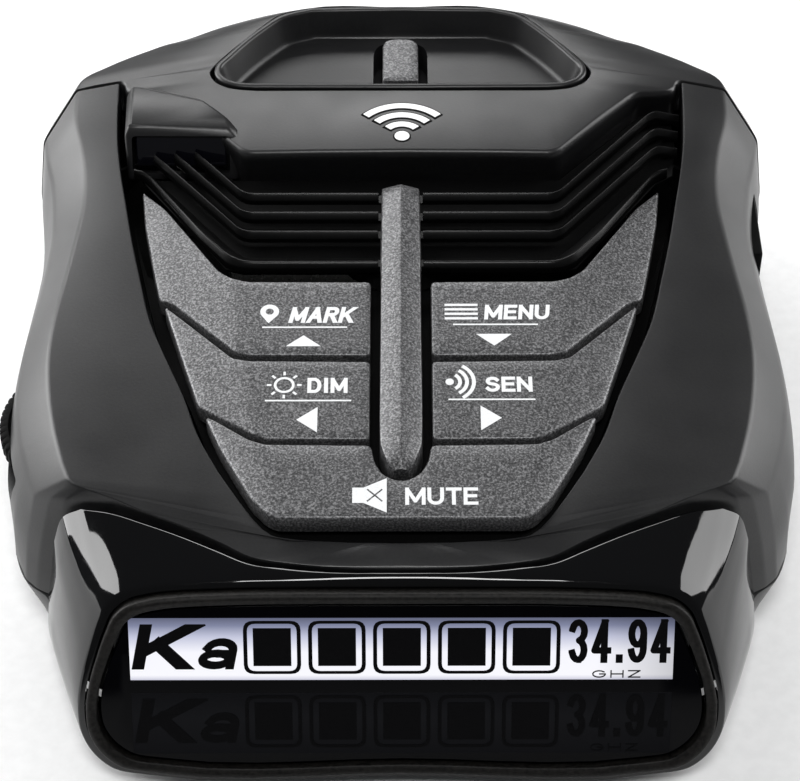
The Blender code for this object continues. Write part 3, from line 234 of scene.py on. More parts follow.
# Key outlines on the left side, and the whole outline of the MUTE key
FAR_KEY = [
    (-4.0, 0.7), (-20.6, 0.8), (-22.6, 1.4), (-24.6, 3.2), (-32.6, 16.4), (-36.2, 20.6), (-35.4, 13.8),
    (-33.4, 3.6), (-32.4, -0.8), (-30.6, -1.6), (-21.6, -11.8), (-20.0, -12.3), (-4.0, -12.4),
]
MIDDLE_KEY = [
    (-4.0, -13.4), (-20.2, -13.2), (-22.0, -12.6), (-30.9, -2.6), (-31.7, -2.0), (-29.4, -9.6),
    (-26.2, -19.9), (-24.6, -21.2), (-18.6, -25.8), (-17.2, -26.4), (-4.0, -26.5),
]
MUTE_KEY_RIGHT = [
    (3.8, -27.4), (17.4, -27.2), (19.2, -26.4), (24.2, -22.2), (25.2, -21.8), (23.2, -26.8), (21.0, -31.2),
    (18.7, -35.6), (16.6, -38.2), (15.2, -39.0),
]
MUTE_NOTCH_RIGHT = [(0.8, -33.0), (2.4, -32.0), (3.4, -30.0)]

# Rear laser pod: its top face, its shoulder and its foot
POD_TOP = [
    (-38.2, 28.2, 36.4), (-24.2, 28.0, 35.9), (-24.6, 30.4, 36.2), (-28.0, 33.6, 36.4), (-38.4, 37.2, 36.2),
]
POD_SHOULDER = [
    (-38.9, 27.4, 35.0), (-22.9, 27.2, 35.1), (-22.9, 28.9, 34.9), (-30.6, 37.4, 33.9), (-39.5, 38.0, 33.6),
]
POD_FOOT = [
    (-38.6, 24.4, 29.4), (-22.9, 24.4, 29.4), (-22.9, 28.6, 29.4), (-30.6, 37.4, 29.4), (-39.4, 38.0, 29.4),
]
POD_FACE_LEAN = math.radians(27.0)


def rail_z(y):
    return RAIL_NEAR_Z + RAIL_SLOPE * (y - RAIL_NEAR_Y)


def key_crease_x(y):
    return 22.3 - 0.014 * max(0.0, 6.0 - y) - 0.0033 * max(0.0, 6.0 - y) ** 2


def key_z(x, y, drop=0.0):
    """Height of the key faces. The fold along the crease has a small radius."""
    past = abs(x) - key_crease_x(y)
    fold = (past + math.hypot(past, 0.25)) / 2
    return KEY_NEAR_Z + KEY_SLOPE * (y - KEY_NEAR_Y) - drop - FLANK_SLOPE * fold


# Mesh helpers


def smooth(points, steps):
    """A smooth path through the points. An end on X = 0 meets its mirror image squarely."""
    path = [Vector(p) for p in points]
    ghosts = []
    for end, inner in ((path[0], path[1]), (path[-1], path[-2])):
        ghost = 2 * end - inner
        if end.x == 0.0:
            ghost = inner.copy()
            ghost.x = -inner.x
        ghosts.append(ghost)
    chain = [ghosts[0], *path, ghosts[1]]
    slopes = []
    for before, here, after in zip(chain, chain[1:], chain[2:]):
        back, ahead = here - before, after - here
        behind, beyond = max(back.length, 1e-6), max(ahead.length, 1e-6)
        slopes.append((back * (beyond / behind) + ahead * (behind / beyond)) / (behind + beyond))
    result = []
    for a, b, slope_a, slope_b in zip(path, path[1:], slopes, slopes[1:]):
        span = (b - a).length
        for k in range(steps):
            t = k / steps
            rise = t * t * (3 - 2 * t)
            lead = t * (1 - t) ** 2 * span
            trail = t * t * (t - 1) * span
            result.append(a * (1 - rise) + b * rise + slope_a * lead + slope_b * trail)
    result.append(path[-1])
    return result


def rounded(points, radii, steps=3, closed=False):
    """A path with its corners turned into arcs. A radius of 0 leaves a corner as it is."""
    path = [Vector(p) for p in points]
    if not isinstance(radii, (list, tuple)):
        radii = [radii] * len(path)
    result = []
    last = len(path) - 1
    for k, (corner, radius) in enumerate(zip(path, radii)):
        if radius == 0 or (not closed and k in (0, last)):
            result.append(corner.copy())
            continue
        before = path[k - 1] - corner
        after = path[(k + 1) % len(path)] - corner
        start = corner + before.normalized() * min(radius, 0.45 * before.length)
        end = corner + after.normalized() * min(radius, 0.45 * after.length)
        for j in range(steps + 1):
            t = j / steps
            result.append(start.lerp(corner, t).lerp(corner.lerp(end, t), t))
    return result


def loft(sections, closed=True, caps=(False, False)):
    """Faces that join sections with the same number of points."""
    bm = bmesh.new()
    rows = [[bm.verts.new(point) for point in section] for section in sections]
    count = len(rows[0])
    for row, following in zip(rows, rows[1:]):
        for k in range(count if closed else count - 1):
            n = (k + 1) % count
            bm.faces.new((row[k], row[n], following[n], following[k]))
    for row, capped in ((rows[0], caps[0]), (rows[-1], caps[1])):
        if capped:
            bm.faces.new(row)
    return bm


def mirrored(bm):
    """Adds the other half on the far side of X = 0, joins the two, and faces everything outwards."""
    geometry = bm.verts[:] + bm.edges[:] + bm.faces[:]
    twin = bmesh.ops.duplicate(bm, geom=geometry)["geom"]
    verts = [g for g in twin if isinstance(g, bmesh.types.BMVert)]
    bmesh.ops.scale(bm, vec=(-1, 1, 1), verts=verts)
    return tidy(bm)


def tidy(bm):
    bmesh.ops.remove_doubles(bm, verts=bm.verts, dist=0.0008)
    bmesh.ops.dissolve_degenerate(bm, edges=bm.edges, dist=0.0005)
    bmesh.ops.recalc_face_normals(bm, faces=bm.faces)
    return bm


def finish_mesh(name, bm, mat, sharp=32.0):
    """A mesh object, in metres, from a bmesh in millimetres."""
    bmesh.ops.triangulate(bm, faces=[face for face in bm.faces if len(face.verts) > 4])
    bm.transform(Matrix.Scale(MM, 4))
    mesh = bpy.data.meshes.new(name)
    bm.to_mesh(mesh)
    bm.free()
    mesh.shade_smooth()
    mesh.set_sharp_from_angle(angle=math.radians(sharp))
    mesh.materials.append(mat)
    obj = bpy.data.objects.new(name, mesh)
    bpy.context.scene.collection.objects.link(obj)
    return obj


def piece(obj, nodes=(), body="housing", place=None):
    """Hangs a finished object on a CAD body, in place of CAD nodes."""
    if place is not None:
        obj.matrix_world = place
    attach(obj, body)
    if nodes:
        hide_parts(*nodes)
    return obj


def carve(obj, cutters, operation="DIFFERENCE"):
    """Cuts meshes out of an object, or joins them to it, and removes them. Only the result is kept."""
    for cutter in cutters:
        mod = obj.modifiers.new(cutter.name, "BOOLEAN")
        mod.operation = operation
        mod.solver = "EXACT"
        mod.object = cutter
    bpy.context.view_layer.update()
    evaluated = obj.evaluated_get(bpy.context.evaluated_depsgraph_get())
    mesh = bpy.data.meshes.new_from_object(evaluated)
    obj.modifiers.clear()
    obj.data = mesh
    mesh.set_sharp_from_angle(angle=math.radians(32.0))
    for cutter in cutters:
        bpy.data.objects.remove(cutter)
    return obj


def rounded_box(size, centre, radius=0.3, segments=2):
    bm = bmesh.new()
    bmesh.ops.create_cube(bm, size=1.0)
    bmesh.ops.scale(bm, vec=size, verts=bm.verts)
    bmesh.ops.bevel(bm, geom=bm.edges[:], offset=radius, segments=segments, profile=0.5, affect="EDGES")
    bmesh.ops.translate(bm, vec=centre, verts=bm.verts)
    return bm


def prism(outline, low, high):
    loop = counter_clockwise([tuple(p) for p in outline])
    return loft([[Vector((x, y, z)) for x, y in loop] for z in (low, high)], caps=(True, True))


def counter_clockwise(loop):
    area = sum(a[0] * b[1] - b[0] * a[1] for a, b in zip(loop, loop[1:] + loop[:1]))
    return list(loop) if area > 0 else list(reversed(loop))


def shrink(loop, distance):
    """Moves a counter-clockwise outline inwards."""
    moved = []
    for k, point in enumerate(loop):
        back = (Vector(point) - Vector(loop[k - 1])).normalized()
        ahead = (Vector(loop[(k + 1) % len(loop)]) - Vector(point)).normalized()
        normal = Vector((-back.y - ahead.y, back.x + ahead.x))
        normal.normalize()
        stretch = max(0.5, normal.dot(Vector((-back.y, back.x))))
        moved.append(Vector(point) + normal * distance / stretch)
    return moved


def inner_points(loop, spacing, margin, lines):
    """Points of a grid and of extra lines that lie inside an outline, clear of its edge."""
    ring = np.array([tuple(p) for p in loop])
    following = np.roll(ring, -1, axis=0)
    low, high = ring.min(axis=0), ring.max(axis=0)
    grid = [
        (x, y)
        for x in np.arange(low[0] + spacing / 2, high[0], spacing)
        for y in np.arange(low[1] + spacing / 2, high[1], spacing)
    ]
    kept = []
    for x, y in lines + grid:
        edge = following - ring
        reach = ((x - ring[:, 0]) * edge[:, 0] + (y - ring[:, 1]) * edge[:, 1]) / (edge ** 2).sum(axis=1)
        near = ring + edge * np.clip(reach, 0, 1)[:, None]
        if np.hypot(near[:, 0] - x, near[:, 1] - y).min() < margin:
            continue
        spans = (ring[:, 1] > y) != (following[:, 1] > y)
        rise = np.where(edge[:, 1] == 0, 1.0, edge[:, 1])
        crossing = ring[:, 0] + (y - ring[:, 1]) * edge[:, 0] / rise
        if (spans & (crossing > x)).sum() % 2 == 1:
            kept.append(Vector((x, y)))
    return kept


def fill(bm, ring, flat, extra, top):
    """Triangles inside a ring of vertices, through extra points that are raised to top(x, y)."""
    verts, _, faces, sources, *_ = delaunay_2d_cdt(flat + extra, [], [list(range(len(flat)))], 1, 1e-5)
    made = []
    for co, source in zip(verts, sources):
        rim = [k for k in source if k < len(ring)]
        made.append(ring[rim[0]] if rim else bm.verts.new((co.x, co.y, top(co.x, co.y))))
    for face in faces:
        bm.faces.new([made[k] for k in face])


def plate(outline, top, thickness, edge=0.3, steps=3, spacing=2.0, lines=(), foot=None):
    """A plate with rounded upper edges. Its face follows top(x, y), and its underside too, without a foot."""
    outer = [Vector(p) for p in counter_clockwise([tuple(p) for p in outline])]
    bm = bmesh.new()
    rings = []
    base = [bm.verts.new((p.x, p.y, foot if foot is not None else top(p.x, p.y) - thickness)) for p in outer]
    rings.append(base)
    for k in range(steps + 1):
        turn = math.pi / 2 * k / steps
        loop = shrink(outer, edge * (1 - math.cos(turn))) if k else outer
        drop = edge * (1 - math.sin(turn))
        rings.append([bm.verts.new((p.x, p.y, top(p.x, p.y) - drop)) for p in loop])
    for low, high in zip(rings, rings[1:]):
        for k in range(len(low)):
            n = (k + 1) % len(low)
            bm.faces.new((low[k], low[n], high[n], high[k]))
    flat = [Vector((v.co.x, v.co.y)) for v in rings[-1]]
    extra = inner_points(flat, spacing, 0.35, list(lines))
    fill(bm, rings[-1], flat, extra, top)
    fill(bm, base, [Vector((v.co.x, v.co.y)) for v in base], [], top)
    return tidy(bm)


def display_matrix(out=0.0, up=0.0):
    """Placement of an object drawn in the display's plane: across, up, and out towards the driver."""
    turn = Matrix.Rotation(DISPLAY_TILT, 4, "X")
    return Matrix.Translation(DISPLAY_CENTRE * MM) @ turn @ Matrix.Translation((0, up * MM, out * MM))


def display_point(x, up, out):
    return DISPLAY_CENTRE + Matrix.Rotation(DISPLAY_TILT, 3, "X") @ Vector((x, up, out))


DISPLAY_CURVE = smooth(DISPLAY_OUTLINE, 5)


def display_outline(inset):
    across = 1 - inset / DISPLAY_HALF_WIDTH
    upwards = 1 - inset / DISPLAY_HALF_HEIGHT
    return [Vector((p.x * across, p.y * upwards)) for p in DISPLAY_CURVE]


def both_sides(half):
    half = [Vector(p) for p in half]
    return half + [Vector((-p.x, p.y)) for p in reversed(half) if p.x > 0.0]


# Materials


def new_material(name):
    mat = bpy.data.materials.new(name)
    mat.use_nodes = True
    return mat, mat.node_tree.nodes, mat.node_tree.links, mat.node_tree.nodes["Principled BSDF"]


def noise(nodes, links, size, detail=2.0, roughness=0.5):
    """Noise whose features are about size millimetres across."""
    place = nodes.new("ShaderNodeTexCoord")
    node = nodes.new("ShaderNodeTexNoise")
    node.inputs["Scale"].default_value = 1 / (size * MM)
    node.inputs["Detail"].default_value = detail
    node.inputs["Roughness"].default_value = roughness
    links.new(place.outputs["Object"], node.inputs["Vector"])
    return node.outputs["Fac"]


def ramp(nodes, links, value, stops):
    node = nodes.new("ShaderNodeValToRGB")
    elements = node.color_ramp.elements
    for element, (at, colour) in zip((elements[0], elements[1]), (stops[0], stops[-1])):
        element.position = at
        element.color = (*colour, 1.0)
    for at, colour in stops[1:-1]:
        elements.new(at).color = (*colour, 1.0)
    links.new(value, node.inputs["Fac"])
    return node.outputs["Color"]


def remap(nodes, links, value, low, high, start=0.3, end=0.7):
    node = nodes.new("ShaderNodeMapRange")
    for name, number in (("From Min", start), ("From Max", end), ("To Min", low), ("To Max", high)):
        node.inputs[name].default_value = number
    links.new(value, node.inputs["Value"])
    return node.outputs["Result"]


def bumps(nodes, links, shader, height, depth, strength=1.0):
    node = nodes.new("ShaderNodeBump")
    node.inputs["Strength"].default_value = strength
    node.inputs["Distance"].default_value = depth * MM
    links.new(height, node.inputs["Height"])
    links.new(node.outputs["Normal"], shader.inputs["Normal"])


def moulded(name, dark, light, roughness, grain=0.35, depth=0.012, spread=0.12, metallic=0.0, specular=0.5):
    """Moulded or cast surface: a fine grain, slow changes of gloss, and a colour that wanders a little."""
    mat, nodes, links, shader = new_material(name)
    shader.inputs["Metallic"].default_value = metallic
    shader.inputs["Specular IOR Level"].default_value = specular
    fine = noise(nodes, links, grain, 3.0, 0.6)
    links.new(ramp(nodes, links, fine, [(0.35, dark), (0.65, light)]), shader.inputs["Base Color"])
    broad = noise(nodes, links, 14.0, 2.0)
    gloss = remap(nodes, links, broad, roughness * (1 - spread), roughness * (1 + spread))
    links.new(gloss, shader.inputs["Roughness"])
    bumps(nodes, links, shader, fine, depth)
    return mat


def flake_paint(name):
    """Grey paint with metallic flake of mixed brightness under a satin lacquer."""
    mat, nodes, links, shader = new_material(name)
    shader.inputs["Metallic"].default_value = 0.6
    flake = noise(nodes, links, 0.3, 2.0, 0.7)
    stops = [(0.33, (0.04, 0.04, 0.041)), (0.5, (0.1, 0.1, 0.103)), (0.66, (0.25, 0.25, 0.255))]
    links.new(ramp(nodes, links, flake, stops), shader.inputs["Base Color"])
    links.new(remap(nodes, links, flake, 0.34, 0.52), shader.inputs["Roughness"])
    bumps(nodes, links, shader, flake, 0.012)
    return mat


def polished(name, colour, roughness=0.04, haze=0.03, specular=0.5):
    """Polished plastic: faint waviness from the mould and a thin film of dust in its gloss."""
    mat, nodes, links, shader = new_material(name)
    shader.inputs["Base Color"].default_value = (*colour, 1.0)
    shader.inputs["Specular IOR Level"].default_value = specular
    dust = noise(nodes, links, 1.1, 4.0, 0.65)
    links.new(remap(nodes, links, dust, roughness, roughness + haze, 0.45, 0.75), shader.inputs["Roughness"])
    bumps(nodes, links, shader, noise(nodes, links, 22.0, 1.0), 0.02, 0.25)
    return mat


def lit(name, strength, stops, height):
    """A lit panel whose brightness changes from its lower edge to its upper one and falls at its right end."""
    mat, nodes, links, shader = new_material(name)
    shader.inputs["Base Color"].default_value = (0.002, 0.002, 0.003, 1.0)
    shader.inputs["Roughness"].default_value = 0.3
    shader.inputs["Specular IOR Level"].default_value = 0.06
    place = nodes.new("ShaderNodeTexCoord")
    split = nodes.new("ShaderNodeSeparateXYZ")
    links.new(place.outputs["Object"], split.inputs["Vector"])
    low, high = height
    climb = remap(nodes, links, split.outputs["Y"], 0.0, 1.0, low * MM, high * MM)
    links.new(ramp(nodes, links, climb, stops), shader.inputs["Emission Color"])
    fall = remap(nodes, links, split.outputs["X"], strength, 0.6 * strength, 24 * MM, 34 * MM)
    links.new(fall, shader.inputs["Emission Strength"])
    return mat


def brushed(name, colour, roughness=0.3):
    """Plain metal, with fine scratches that vary its gloss."""
    mat, nodes, links, shader = new_material(name)
    shader.inputs["Metallic"].default_value = 1.0
    scratch = noise(nodes, links, 0.5, 4.0, 0.7)
    dark = tuple(0.82 * c for c in colour)
    links.new(ramp(nodes, links, scratch, [(0.3, dark), (0.7, colour)]), shader.inputs["Base Color"])
    links.new(remap(nodes, links, scratch, roughness * 0.7, roughness * 1.4), shader.inputs["Roughness"])
    bumps(nodes, links, shader, scratch, 0.006)
    return mat


SATIN = moulded("satin_black", (0.0045, 0.0045, 0.005), (0.008, 0.008, 0.0085), 0.37, depth=0.01)
MATT = moulded("matt_black", (0.001, 0.001, 0.001), (0.0025, 0.0025, 0.0026), 0.6, 0.3, 0.015, specular=0.06)
RIBBED = moulded("vent_black", (0.001, 0.001, 0.001), (0.0025, 0.0025, 0.0026), 0.28, depth=0.006,
                 specular=0.2)
RING = moulded("ring_texture", (0.0015, 0.0014, 0.0013), (0.012, 0.011, 0.01), 0.5, 0.5, 0.05, specular=0.16)
GLOSS = polished("gloss_black", (0.0015, 0.0015, 0.0018))
SMOKE = polished("smoke_lens", (0.003, 0.003, 0.005), 0.03)
WINDOW = polished("display_window", (0.001, 0.001, 0.0016), 0.05, specular=0.07)
FLAKE = flake_paint("key_metallic")
PRINT = moulded("legend_print", (0.7, 0.71, 0.72), (0.8, 0.81, 0.82), 0.5, grain=0.2, depth=0.004)
WHITE = moulded("badge_white", (0.75, 0.75, 0.75), (0.85, 0.85, 0.85), 0.35, grain=0.3, depth=0.004)
# Boards painted black, so that where they show through gaps between parts they give painted shade
SHADE_BLACK_BOARD = moulded("board_black", (0.003, 0.003, 0.003), (0.008, 0.008, 0.008), 0.4, grain=0.8, depth=0.01)
SENSOR = moulded("sensor_black", (0.004, 0.004, 0.004), (0.009, 0.009, 0.009), 0.5)
RUBBER = moulded("rubber", (0.01, 0.01, 0.01), (0.02, 0.02, 0.02), 0.85, grain=0.25, depth=0.03)
TIN = brushed("shield_tin", (0.62, 0.62, 0.6))
CAST = moulded("cast_metal", (0.34, 0.34, 0.35), (0.46, 0.46, 0.47), 0.5, grain=0.6, depth=0.05, metallic=1.0)
STEEL = brushed("steel", (0.55, 0.55, 0.56))
PANEL = moulded("display_glass", (0.003, 0.003, 0.004), (0.005, 0.005, 0.007), 0.12, depth=0.001)
BAND_EDGES = (-0.4, 8.1)  # lower and upper edge of the lit strip
BAND_HALF_WIDTH = 33.6
BAND_UP = 0.9  # how far the strip and its painted reflection are moved along the display
# The strip's reflection is painted: a dim glowing copy of it, moved down the window
PAINTED_REFLECTION_UP = -9.4
WINDOW_FACE = -0.3
LIT = lit(
    "display_lit", 1.0,
    [(0.0, (0.62, 0.62, 0.74)), (0.08, (0.95, 0.95, 1.0)), (0.45, (0.93, 0.93, 1.0)),
     (0.7, (0.55, 0.57, 0.72)), (0.88, (0.22, 0.24, 0.36)), (1.0, (0.12, 0.13, 0.2))],
    BAND_EDGES,
)
# Painted reflection of the lit strip: a faint glow, not a second strip
PAINTED_REFLECTION = lit(
    "display_painted_reflection", 1.0,
    [(0.0, (0.001, 0.0011, 0.0013)), (0.6, (0.0034, 0.0036, 0.004)), (1.0, (0.0012, 0.0013, 0.0015))],
    BAND_EDGES,
)
INK = moulded("display_ink", (0.0008, 0.0008, 0.0012), (0.0016, 0.0016, 0.0022), 0.4, depth=0.001,
              specular=0.06)


# Housing


def frame_inward(station):
    if station < CORNER_STATION - 1:
        return Vector((-1.0, 0.0, 0.0))
    turn = min(1.0, (station - CORNER_STATION + 2) / 4)
    return Vector((-math.cos(turn * math.pi / 2), math.sin(turn * math.pi / 2), 0.0))


def frame_corners(station):
    """Corners of the rail's section at a station, outside from the inner edge down, then inside."""
    inner, crease, shoulder, widest, lower = FRAME_STATIONS[station]
    shoulder_z = rail_z(shoulder[1]) - SHOULDER_DROP
    widest_z, lower_z = WIDEST_Z, PARTING_Z
    if station > CORNER_STATION:
        shoulder_z = min(26.2, shoulder_z + 1.6 * (station - CORNER_STATION))
    if station >= NOSE_STATION:
        widest_z, lower_z = 24.0, 22.0
    crease_z = rail_z(crease[1]) - CREASE_DROP + max(0, station - NOSE_STATION) * 0.12
    outer = [
        Vector((*inner, rail_z(inner[1]))),
        Vector((*crease, crease_z)),
        Vector((*shoulder, shoulder_z)),
        Vector((*widest, widest_z)),
        Vector((*lower, lower_z)),
    ]
    inward = frame_inward(station)
    inside = [
        outer[0] - Vector((0.0, 0.0, 3.6)),
        outer[1] + inward * 0.8 - Vector((0.0, 0.0, 2.3)),
        outer[2] + inward * WALL - Vector((0.0, 0.0, 0.9)),
        outer[3] + inward * WALL,
        outer[4] + inward * WALL,
    ]
    return outer + inside[::-1]


def make_top_frame():
    corners = [frame_corners(k) for k in range(len(FRAME_STATIONS))]
    lines = []
    for line in zip(*corners):
        side = smooth(line[:CORNER_STATION], 4)
        facets = rounded(line[CORNER_STATION - 1:NOSE_STATION + 1], 0.45)
        lines.append(side + facets[1:] + smooth(line[NOSE_STATION:], 4)[1:])
    radii = [0.35, 0.5, 0.9, 3.0, 0.25, 0, 0, 0, 0, 0]
    sections = [rounded(section, radii, closed=True) for section in zip(*lines)]
    frame_shell = finish_mesh("rail_frame", mirrored(loft(sections, caps=(True, False))), SATIN)
    slot_size = (8.0, 2 * WHEEL_RADIUS + 1.0, WHEEL_THICKNESS + 1.0)
    holes = [rounded_box(slot_size, (-50.6, *WHEEL_CENTRE[1:]), 0.6)]
    for (_, y, z), (_, width, height) in ((JACK_CENTRE, JACK_SIZE), (USB_CENTRE, USB_SIZE)):
        holes.append(rounded_box((12.0, width + 0.8, height + 0.8), (52.0, y, z), 0.4))
    cutters = [finish_mesh(f"frame_hole_{k}", bm, SATIN) for k, bm in enumerate(holes)]
    piece(carve(frame_shell, cutters), ["top_frame"])


def make_front_cap():
    """The cover round the tray, with its lip over the vents and its end wall, as one skin."""
    drop = Vector((0.0, 0.0, WALL))
    corners = []
    for *points, (across, along) in CAP_STATIONS:
        hole, edge, shoulder, widest, lower = (Vector(point) for point in points)
        inward = Vector((across, along, 0.0))
        inside = [lower + inward * WALL, widest + inward * WALL, shoulder + inward * WALL - drop * 0.5]
        root = edge + inward * WALL - drop
        corners.append([hole - drop, hole, edge, shoulder, widest, lower, *inside, root])
    lip = [rounded(line, 1.3, 4) for line in zip(*corners[:CAP_CORNER])]
    wall = [smooth(line, 5) for line in zip(*corners[CAP_CORNER:])]
    radii = [0, 0.35, 0.45, 0.8, 1.6, 0.25, 0, 0, 0, 0]
    sections = [rounded(s, radii, closed=True) for s in [*zip(*lip), *zip(*wall)]]
    split = len(lip[0])
    edge_end = 8  # last point of the arc along the upper edge
    bm = bmesh.new()
    rows = [[bm.verts.new(point) for point in section] for section in sections]
    count = len(rows[0])
    for index, (row, following) in enumerate(zip(rows, rows[1:]), 1):
        steps = [(k, (k + 1) % count) for k in range(count)]
        if index == split:
            steps = [(k, k + 1) for k in range(edge_end)] + [(edge_end, count - 1), (count - 1, 0)]
        for k, n in steps:
            bm.faces.new((row[k], row[n], following[n], following[k]))
    for row in (rows[split - 1], rows[split]):
        bm.faces.new(row[edge_end:])
    piece(finish_mesh("front_cover", mirrored(bm), SATIN), ["front_cap"])


def make_front_lens():
    lines = [smooth([(x, y, z) for x, y in places], 6) for places, z in zip(
        ([(s[0], s[k]) for s in LENS_STATIONS] for k in (1, 2, 3)),
        (25.9, WIDEST_Z, PARTING_Z + 0.2),
    )]
    sections = []
    for outer in zip(*lines):
        inner = [Vector((0.97 * p.x, p.y - WALL, p.z)) for p in reversed(outer)]
        sections.append(rounded([*outer, *inner], [0.4, 4.0, 0.4, 0, 0, 0], closed=True))
    lens = finish_mesh("laser_lens", mirrored(loft(sections, caps=(False, True))), SMOKE)
    piece(lens, ["front_lens"])


def inset_path(path, distance):
    moved = []
    last = len(path) - 1
    for k, point in enumerate(path):
        before = Vector(path[max(k - 1, 0)][:2])
        after = Vector(path[min(k + 1, last)][:2])
        run = (after - before).normalized()
        if k in (0, last):
            run = Vector((1.0 if k == 0 else -1.0, 0.0))
        moved.append(Vector((point[0] - run.y * distance, point[1] + run.x * distance)))
    return moved


def make_bottom_case():
    rim = smooth([s[0] for s in CASE_STATIONS], 4)
    waist = smooth([s[1] for s in CASE_STATIONS], 4)
    base = smooth([(*s[2], BASE_Z) for s in CASE_STATIONS], 4)
    insides = [inset_path(path, WALL) for path in (rim, waist, base)]
    sections = []
    for r, w, b, r_in, w_in, b_in in zip(rim, waist, base, *insides):
        middle_y = max(-43.0, min(51.0, b.y))
        corners = [
            Vector((0.0, middle_y, BASE_Z)), b, w, r,
            Vector((*r_in, max(r.z, FLOOR_Z + 0.4))),
            Vector((*w_in, max(w.z, FLOOR_Z + 0.2))),
            Vector((*b_in, FLOOR_Z)),
            Vector((0.0, middle_y, FLOOR_Z)),
        ]
        sections.append(rounded(corners, [0, 0.8, 2.0, 0.25, 0, 0, 0, 0]))
    case = finish_mesh("lower_case", mirrored(loft(sections, closed=False)), SATIN)
    piece(case, ["bottom_case"])


def make_screws_and_feet():
    """Pan-head screws with a cross recess, and moulded feet with a rounded rim."""
    for k, (x, y) in enumerate(NEAR_SCREWS + FAR_SCREWS, 1):
        head = bmesh.new()
        profile = [(0.0, 0.15), (1.7, 0.15), (2.3, 0.3), (2.5, 0.6), (2.5, 0.84), (1.2, 0.85)]
        profile += [(1.2, 19.0), (0.0, 19.6)]
        turn_profile(head, profile, 32)
        bmesh.ops.translate(head, vec=(x, y, 0.0), verts=head.verts)
        screw = finish_mesh(f"screw_{k}", tidy(head), STEEL)
        bars = []
        for size in ((2.8, 0.6, 0.9), (0.6, 2.8, 0.9)):
            bars.append(finish_mesh("recess", rounded_box(size, (x, y, 0.15), 0.08, 1), STEEL))
        piece(carve(screw, bars), [f"case_screw_{k}"])
    for k in range(1, 5):
        low, high = (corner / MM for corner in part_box(f"foot_{k}"))
        radius = (high.x - low.x) / 2
        foot = bmesh.new()
        top = high.z
        profile = [(0.0, 0.0), (radius - 0.9, 0.0), (radius - 0.5, 0.12), (radius - 0.25, 0.4)]
        profile += [(radius, top), (0.0, top)]
        turn_profile(foot, profile, 48)
        bmesh.ops.translate(foot, vec=((low.x + high.x) / 2, (low.y + high.y) / 2, 0.0), verts=foot.verts)
        piece(finish_mesh(f"rubber_foot_{k}", tidy(foot), RUBBER), [f"foot_{k}"])


def turn_profile(bm, profile, steps, ripple=None):
    """Turns a profile of radius and height about Z. ripple(angle, radius) can change the radius."""
    rows = []
    for radius, height in profile:
        row = []
        for k in range(steps):
            angle = 2 * math.pi * k / steps
            r = ripple(angle, radius) if ripple else radius
            row.append(bm.verts.new((r * math.cos(angle), r * math.sin(angle), height)))
        rows.append(row)
    for row, following in zip(rows, rows[1:]):
        for k in range(steps):
            n = (k + 1) % steps
            bm.faces.new((row[k], row[n], following[n], following[k]))


# Display nose


def make_display():
    seam = smooth(BEZEL_SEAM[:NOSE_RIDGE + 1], 5)[:-1] + smooth(BEZEL_SEAM[NOSE_RIDGE:], 5)
    front = [display_point(p.x, p.y, -1.0) for p in display_outline(-0.5)]
    front_in = [display_point(p.x, p.y, -1.0) for p in display_outline(0.3)]
    seat = [display_point(p.x, p.y, -2.1) for p in display_outline(0.3)]
    sections = []
    for back, fore, fore_in, low in zip(seam, front, front_in, seat):
        outward = Vector((back.x, 0.0, back.z - 15.0)).normalized()
        bulge = back.lerp(fore, 0.55) + outward * 0.4
        if back.x == 0.0:
            outward.x = bulge.x = 0.0
        skin = [back.lerp(bulge, t).lerp(bulge.lerp(fore, t), t) for t in (0.0, 0.2, 0.4, 0.6, 0.8, 1.0)]
        middle_in = back.lerp(fore, 0.55) - outward * 1.2
        loop = [*skin, fore_in, low, middle_in, back - outward * 1.0]
        sections.append(rounded(loop, [0.25, 0, 0, 0, 0, 0.45, 0, 0, 0, 0], closed=True))
    piece(finish_mesh("nose_bezel", mirrored(loft(sections)), GLOSS, 22.0), ["display_bezel"])

    sections = []
    for a, b, c in zip(display_outline(0.6), display_outline(1.15), display_outline(2.0)):
        loop = [(*a, -1.7), (*a, 0.2), (*b, 0.6), (*c, 0.3), (*c, -1.7)]
        sections.append(rounded(loop, [0, 0.25, 0.4, 0.2, 0], closed=True))
    ring = finish_mesh("window_ring", mirrored(loft(sections)), RING)
    piece(ring, ["display_ring"], place=display_matrix())

    window = plate(both_sides(display_outline(2.4)), lambda x, y: WINDOW_FACE, 1.2, edge=0.15, spacing=6.0)
    pane = finish_mesh("window_pane", window, WINDOW)
    piece(pane, ["display_window"], place=display_matrix())


def flat_shapes(loops, raise_to=0.03, sink=0.02):
    """A thin skin with the given closed outlines. An outline inside another is a hole."""
    curve = bpy.data.curves.new("shapes", "CURVE")
    curve.dimensions = "2D"
    curve.fill_mode = "BOTH"
    for loop in loops:
        spline = curve.splines.new("POLY")
        spline.points.add(len(loop) - 1)
        for point, (x, y) in zip(spline.points, loop):
            point.co = (x, y, 0.0, 1.0)
        spline.use_cyclic_u = True
    guide = bpy.data.objects.new("guide", curve)
    bpy.context.scene.collection.objects.link(guide)
    bpy.context.view_layer.update()
    mesh = bpy.data.meshes.new_from_object(guide.evaluated_get(bpy.context.evaluated_depsgraph_get()))
    bpy.data.objects.remove(guide)
    bm = bmesh.new()
    bm.from_mesh(mesh)
    bpy.data.meshes.remove(mesh)
    return thickened(bm, raise_to, sink)


def thickened(bm, raise_to=0.03, sink=0.02):
    """A closed skin from a flat mesh: its top is raised and its underside sunk."""
    bmesh.ops.remove_doubles(bm, verts=bm.verts, dist=0.0005)
    made = bmesh.ops.extrude_face_region(bm, geom=bm.faces[:])["geom"]
    top = [g for g in made if isinstance(g, bmesh.types.BMVert)]
    bmesh.ops.translate(bm, vec=(0.0, 0.0, raise_to + sink), verts=top)
    bmesh.ops.translate(bm, vec=(0.0, 0.0, -sink), verts=bm.verts)
    bmesh.ops.recalc_face_normals(bm, faces=bm.faces)
    return bm


